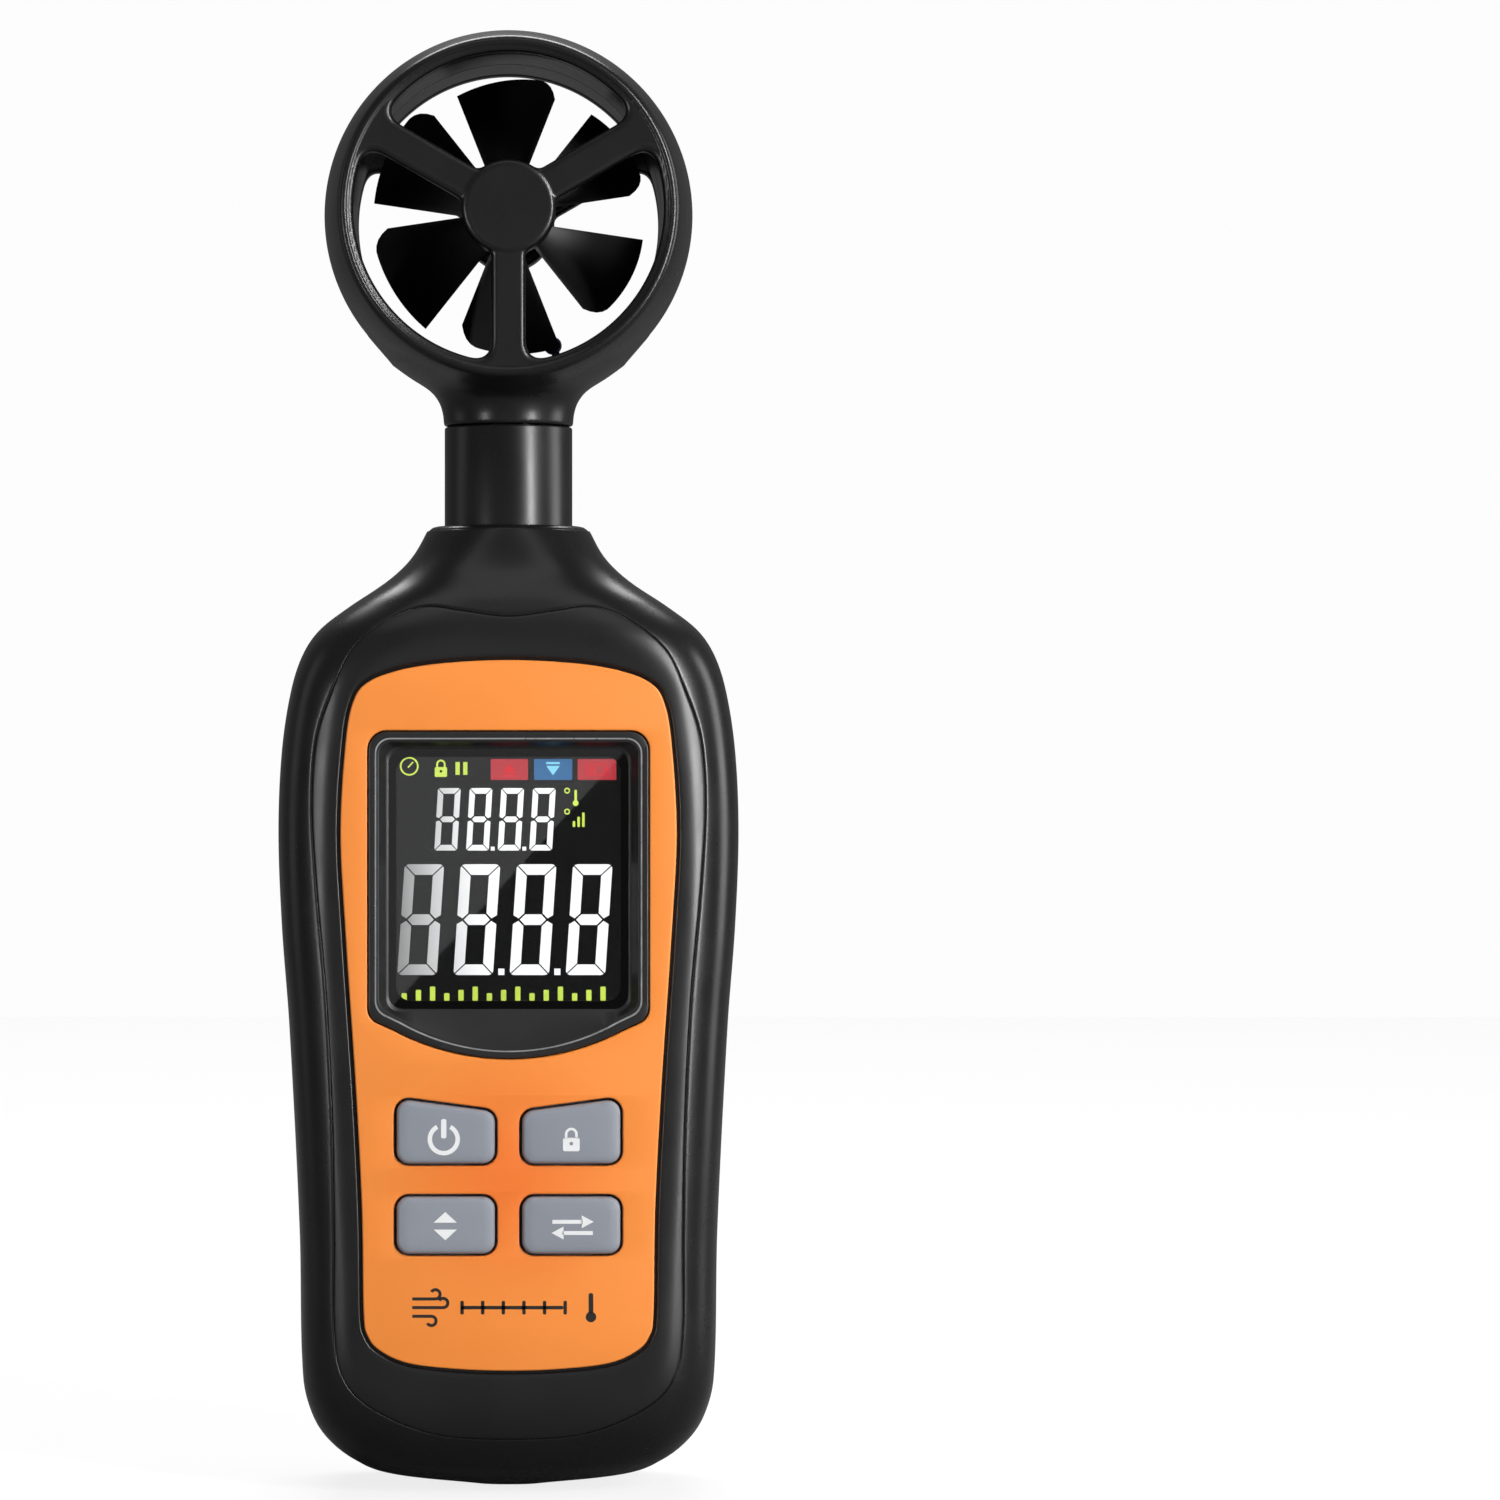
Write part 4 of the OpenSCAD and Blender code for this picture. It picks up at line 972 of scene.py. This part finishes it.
neck = [(6.1, 101), (8.9, 101), (9.0, 101.1), (9.0, 103.1), (8.9, 103.2), (7.6, 103.3), (7.6, 124.75), (7.52, 124.92),
        (7.35, 125.0), (5.65, 125.0), (5.6, 125.05), (5.6, 125.95), (4.5, 125.95), (4.5, 127.05), (5.6, 127.05), (5.6, 127.65),
        (6.7, 127.7), (6.8, 127.8), (6.8, 129.1), (6.7, 129.2), (3.6, 129.2), (3.6, 120), (6.1, 117)]
rows = lathe(neck, 128)
ring_piece("neck", rows + [rows[0]], head_black, "body", ["neck_tube"], sharp=40)

RING_R = 21.9
HALF_DEPTH = 14
THROAT = 18.2
FLARE = [(0, 7.67), (1.6, 7.85), (3, 8.35), (4.4, 9.5), (5.9, 11.7), (7.3, 13.6)]
COLLAR_Z = SEAM_Z + 0.12 - AXIS_Z
ARMS = [30, 150, 270]


def throat_at(y):
    """Radius of the duct's wall: a flared mouth with two shallow steps."""
    t = np.clip((np.abs(y) - 9.6) / 3.6, 0, 1)
    steps = 0.22 * np.clip((np.abs(y) - 10.9) / 0.15, 0, 1) + 0.22 * np.clip((np.abs(y) - 12.3) / 0.15, 0, 1)
    return THROAT + 0.3 * t * t * (3 - 2 * t) + steps


def head_field(side):
    bulge = (HALF_DEPTH**2 + 2.1**2) / 4.2

    def field(p):
        x, y, z = p[:, 0], side * p[:, 1], p[:, 2]
        r = np.hypot(x, z)
        outer = RING_R - bulge + np.sqrt(np.maximum(bulge**2 - y**2, 1))
        wall = throat_at(y)
        ring = blend_max(blend_max(r - outer, y - HALF_DEPTH, 0.9), wall - r, 0.35)
        up = z - COLLAR_Z
        radial = np.hypot(x, y)
        flare = radial - on_curve(FLARE, up) - np.maximum(up - 7.3, 0) * 0.6
        collar = blend_max(np.maximum(flare * 0.75, up - 10), -up, 0.35)
        collar = np.maximum(np.maximum(collar, THROAT + 0.6 - r), y - 9.8)
        shell = blend_min(ring, collar, 1.2)
        flat = np.full(len(p), 1e3)
        for a in ARMS:
            c, s = math.cos(math.radians(a)), math.sin(math.radians(a))
            along, across = x * c + z * s, -x * s + z * c
            flat = np.minimum(flat, np.maximum(np.abs(across) - 2, -along))
        flat = blend_min(flat, r - 5.55, 0.7)
        flat = blend_min(flat, THROAT - 0.05 - r, 2.6)
        arms = blend_max(flat, np.abs(y - 12.5) - 1.2, 0.7)
        arms = np.maximum(arms, r - THROAT - 0.9)
        hub = blend_max(r - 5.55, np.abs(y - 11.75) - 2.15, 0.8)
        spider = np.minimum(arms, hub)
        solid = np.minimum(shell, spider)
        bore = np.maximum(r - 1.8, y - 12.2)
        spigot = np.maximum(radial - 5.68, up - 2.5)
        catch = np.maximum(radial - 7.0, np.abs(up - 3.3) - 0.85)
        solid = np.maximum(np.maximum(solid, -bore), np.maximum(-spigot, -catch))
        return blend_max(solid, -y, 0.2)

    return field


for side, node in ((FRONT, "head_front"), (REAR, "head_rear")):
    y0, y1 = (-14.6, 0.5) if side == FRONT else (-0.5, 14.6)
    step = 0.28
    verts, quads = skin_of(head_field(side), (-22.6, y0, -26), (22.6, y1, 22.6), step)
    piece(node.replace("head", "duct"), verts + [0, 0, AXIS_Z], quads, head_black, "head", [node], sharp=75)

# ------------------------------------------------------------------ impeller

SWEEP = 44
BLADE_DEPTH = 12
TIP = 16.3


def blade(angle, spans=14, chords=20, thickness=0.9):
    top, under = [], []
    for i in range(spans + 1):
        for k in range(chords + 1):
            t = k / chords - 0.5
            trim = 1.9 * max(0.0, (-t - 0.28) / 0.22) ** 2
            r = 3.4 + (TIP - trim - 3.4) * i / spans
            a = math.radians(SWEEP * t)
            pitch = math.atan2(BLADE_DEPTH, r * math.radians(SWEEP))
            edge = min(k, chords - k, 2) / 2
            half = thickness / 2 * (0.45 + 0.55 * edge) * (1 - 0.25 * i / spans)
            for sign, out in ((-1, top), (1, under)):
                shift = sign * half
                across = shift * math.sin(pitch)
                x, z = r * math.cos(a) + across * math.sin(a), r * math.sin(a) - across * math.cos(a)
                c, s = math.cos(math.radians(angle)), math.sin(math.radians(angle))
                out.append((x * c - z * s, BLADE_DEPTH * t - shift * math.cos(pitch), x * s + z * c))
    n, m = chords + 1, len(top)
    faces = []
    for i in range(spans):
        for k in range(chords):
            q = (i * n + k, i * n + k + 1, (i + 1) * n + k + 1, (i + 1) * n + k)
            faces += [q, tuple(v + m for v in reversed(q))]
    rim = ([k for k in range(n)] + [i * n + chords for i in range(1, spans + 1)]
           + [spans * n + k for k in range(chords - 1, -1, -1)] + [i * n for i in range(spans - 1, 0, -1)])
    for a, b in zip(rim, rim[1:] + rim[:1]):
        faces.append((a, a + m, b + m, b))
    return top + under, faces


rotor_verts, rotor_faces = [], []
for k in range(6):
    v, f = blade(30 + 60 * k)
    rotor_faces += [tuple(j + len(rotor_verts) for j in q) for q in f]
    rotor_verts += v
hub = [(0.76, -6.4), (2.6, -6.75), (3.6, -6.4), (4.0, -5.6), (4.0, 6.3), (3.85, 6.75), (3.05, 6.8), (3.0, 5.4), (0.76, 5.4)]
hub_rows = [p[:, [0, 2, 1]] for p in lathe(hub, 64)]
flat = np.vstack(hub_rows + [hub_rows[0]])
rotor_faces += [tuple(j + len(rotor_verts) for j in q) for q in strip_faces(len(hub_rows) + 1, 64)]
rotor_verts += [tuple(v) for v in flat]
piece("rotor", np.array(rotor_verts) + [0, 0, AXIS_Z], rotor_faces, impeller_black, "impeller",
      ["impeller"], sharp=40)

# ------------------------------------------------------------------ battery door

grips = [rounded(box_at(-6, 6, 57 + 1.6 * k, 57.8 + 1.6 * k), 0.35, 4) for k in range(5)]
DOOR_IN = BACK_Y - 1.6


def door_face(grow):
    w, a, b = DOOR_HALF + grow, DOOR_LOW - grow, DOOR_HIGH + grow
    return rounded([(-w, a), (w, a), (w, b), (-w, b)], 1.5, 8)


door = plate("door_skin", [door_face(0)] + grips, BACK_Y - 0.62, BACK_Y, 0.16, abs_black, "battery_door",
             ["battery_door"])
for v in door.data.vertices:
    over = v.co.y / MM - float(face_y(v.co.x / MM, v.co.z / MM, REAR))
    v.co.y -= max(over, 0) * MM
plate("door_plate", [door_face(-0.05)], DOOR_IN, BACK_Y - 0.5, 0.12, abs_black, "battery_door")
for s in (-1, 1):
    tab = [(13 * s - 1.7, 13.75), (13 * s + 1.7, 13.75), (13 * s + 1.7, 16), (13 * s - 1.7, 16)]
    plate(f"door_tab_{'left' if s < 0 else 'right'}", [rounded(tab, 0.4)], DOOR_IN, DOOR_IN + 0.8, 0.1, abs_black,
          "battery_door")

# ------------------------------------------------------------------ screws

for i, (x, z) in enumerate(SCREWS):
    top = high("housing_screws").y
    head = [(0.0, top - 1.4), (2.0, top - 1.4), (2.1, top - 1.3), (2.1, top - 0.35), (1.85, top - 0.08), (1.3, top), (0.0, top)]
    cross = [(-0.32, 0.32), (-0.32, 1.15), (0.32, 1.15), (0.32, 0.32), (1.15, 0.32), (1.15, -0.32), (0.32, -0.32),
             (0.32, -1.15), (-0.32, -1.15), (-0.32, -0.32), (-1.15, -0.32), (-1.15, 0.32)]
    turn = math.radians(17 + 31 * i)
    c, s = math.cos(turn), math.sin(turn)
    cross = [(x + a * c - b * s, z + a * s + b * c) for a, b in cross]
    plate(f"screw_head_{i + 1}", [disc(x, z, 2.1, 48), cross[::-1]], top - 0.7, top, 0.12, steel, "body")
    rows = [np.column_stack([x + p[:, 0], p[:, 2], z + p[:, 1]]) for p in lathe(
        [(2.05, top - 0.72), (2.1, top - 0.85), (2.1, top - 1.4), (0.95, top - 1.45), (0.95, -9.6), (0.3, -10.4)], 40)]
    ring_piece(f"screw_shank_{i + 1}", rows, steel, "body", ["housing_screws"] if i == 0 else (),
               cap_first=True, cap_last=True)

# ------------------------------------------------------------------ CAD nodes shown as they are

LOOKS = {
    "display_window": window_clear, "display_gasket": foam_grey, "lcd_panel": screen_black, "lcd_backlight": ivory,
    "lcd_holder": dark_plastic, "circuit_board": board_green, "board_chips": dark_plastic, "board_connector": ivory,
    "buzzer": dark_plastic, "board_screws": steel, "switch_bodies": dark_plastic, "battery_cell_left": cell_green,
    "battery_cell_middle": cell_green, "battery_cell_right": cell_green, "battery_springs": steel,
    "battery_contacts": steel, "battery_leads": wire_red, "neck_o_ring": rubber_black, "sensor_cable": wire_black,
    "front_bearing": brass, "rear_bearing": brass, "hall_sensor": dark_plastic, "sensor_lead": wire_red,
    "thermistor": epoxy_blue, "impeller_shaft": steel, "impeller_magnet": magnet_grey, "plunger_power": ivory,
    "plunger_hold": ivory, "plunger_min_max": ivory, "plunger_units": ivory, "door_pad": foam_grey,
}
for node, material in LOOKS.items():
    obj = bpy.data.objects[node]
    obj.data.materials.clear()
    obj.data.materials.append(material)
    for polygon in obj.data.polygons:
        polygon.material_index = 0

# ------------------------------------------------------------------ stage, light and camera


def area_light(name, place, aim, size, power, color=(1, 1, 1), spread=None):
    light = bpy.data.lights.new(name, "AREA")
    light.shape = "RECTANGLE"
    light.size, light.size_y = size[0], size[1]
    light.energy = power
    light.color = color
    if spread is not None:
        light.spread = math.radians(spread)
    obj = bpy.data.objects.new(name, light)
    bpy.context.scene.collection.objects.link(obj)
    obj.location = place
    obj.rotation_euler = (Vector(aim) - Vector(place)).to_track_quat("-Z", "Y").to_euler()
    return obj


MIDDLE = (0, 0, 0.09)


def round_about(angle, distance, height=0.09):
    """Place at an angle from straight in front, positive to the right."""
    a = math.radians(angle)
    return (distance * math.sin(a), -distance * math.cos(a), height)


area_light("strip_left", round_about(-42, 0.62, -0.06), (0, 0, -0.06), (0.05, 0.5), 1.35)
area_light("strip_right", round_about(42, 0.62, 0.12), MIDDLE, (0.05, 0.9), 7.1)
area_light("side_left", round_about(-96, 0.6, 0.12), MIDDLE, (0.2, 0.7), 0.2)
area_light("side_right", round_about(96, 0.6, 0.12), MIDDLE, (0.2, 0.7), 1.8)
area_light("above", (0, -0.4, 0.95), MIDDLE, (0.7, 0.35), 0.6)
area_light("behind", (0, 1.1, 1.5), MIDDLE, (1.4, 0.6), 20.0)

# Card whose straight edge lies across the window's reflection
GLARE_SLOPE = math.radians(47.6)
card_size = 0.2
glare = area_light("glare_card", (0, -0.9, 0.05), (0, 0, 0.05), (card_size, card_size), 0.07)
along = Vector((math.cos(GLARE_SLOPE), 0, math.sin(GLARE_SLOPE)))
across = Vector((-math.sin(GLARE_SLOPE), 0, math.cos(GLARE_SLOPE)))
glare.rotation_euler = Matrix((along, across, along.cross(across))).transposed().to_euler()
glare.location = Vector((0, -0.9, 0.0518)) + across * card_size / 2

world = bpy.data.worlds.new("studio")
world.use_nodes = True
tree = world.node_tree
tree.nodes.clear()
output = tree.nodes.new("ShaderNodeOutputWorld")
mix = tree.nodes.new("ShaderNodeMixShader")
path = tree.nodes.new("ShaderNodeLightPath")
seen = tree.nodes.new("ShaderNodeBackground")
lit = tree.nodes.new("ShaderNodeBackground")
seen.inputs["Color"].default_value = (0.98, 0.98, 0.98, 1)
seen.inputs["Strength"].default_value = 1.0
lit.inputs["Color"].default_value = (1, 1, 1, 1)
lit.inputs["Strength"].default_value = 0.12
tree.links.new(path.outputs["Is Camera Ray"], mix.inputs[0])
tree.links.new(lit.outputs[0], mix.inputs[1])
tree.links.new(seen.outputs[0], mix.inputs[2])
tree.links.new(mix.outputs[0], output.inputs[0])
bpy.context.scene.world = world


def stage_material():
    """Pale paper, kept as pale as the surroundings wherever the camera sees it."""
    n = Nodes("stage_paper")
    n.link(n.mixed(n.noise(3, 3), (0.16, 0.16, 0.16), (0.17, 0.17, 0.17)), "Base Color")
    n.link(n.ranged(n.noise(8), 0.7, 0.8), "Roughness")
    ray = n.add("ShaderNodeLightPath").outputs["Is Camera Ray"]
    n.link(n.ranged(ray, 0, 0.82, 0, 1), "Emission Strength")
    n.shader.inputs["Emission Color"].default_value = (1, 1, 1, 1)
    return n.material


floor_mesh = bpy.data.meshes.new("floor")
floor_mesh.from_pydata([(-1.5, -1.0, -0.0005), (1.5, -1.0, -0.0005), (1.5, 1.2, -0.0005), (-1.5, 1.2, -0.0005)], [], [(0, 1, 2, 3)])
floor_mesh.materials.append(stage_material())
floor = bpy.data.objects.new("floor", floor_mesh)
bpy.context.scene.collection.objects.link(floor)

lens = bpy.data.cameras.new("camera")
lens.sensor_width = 36
lens.lens = 139
lens.shift_x = 0.161
lens.clip_start = 0.01
camera = bpy.data.objects.new("camera", lens)
bpy.context.scene.collection.objects.link(camera)
camera.location = (0, -0.690, 0.0866)
camera.rotation_euler = (math.pi / 2, 0, 0)
bpy.context.scene.camera = camera
bpy.context.scene.view_settings.view_transform = "Standard"
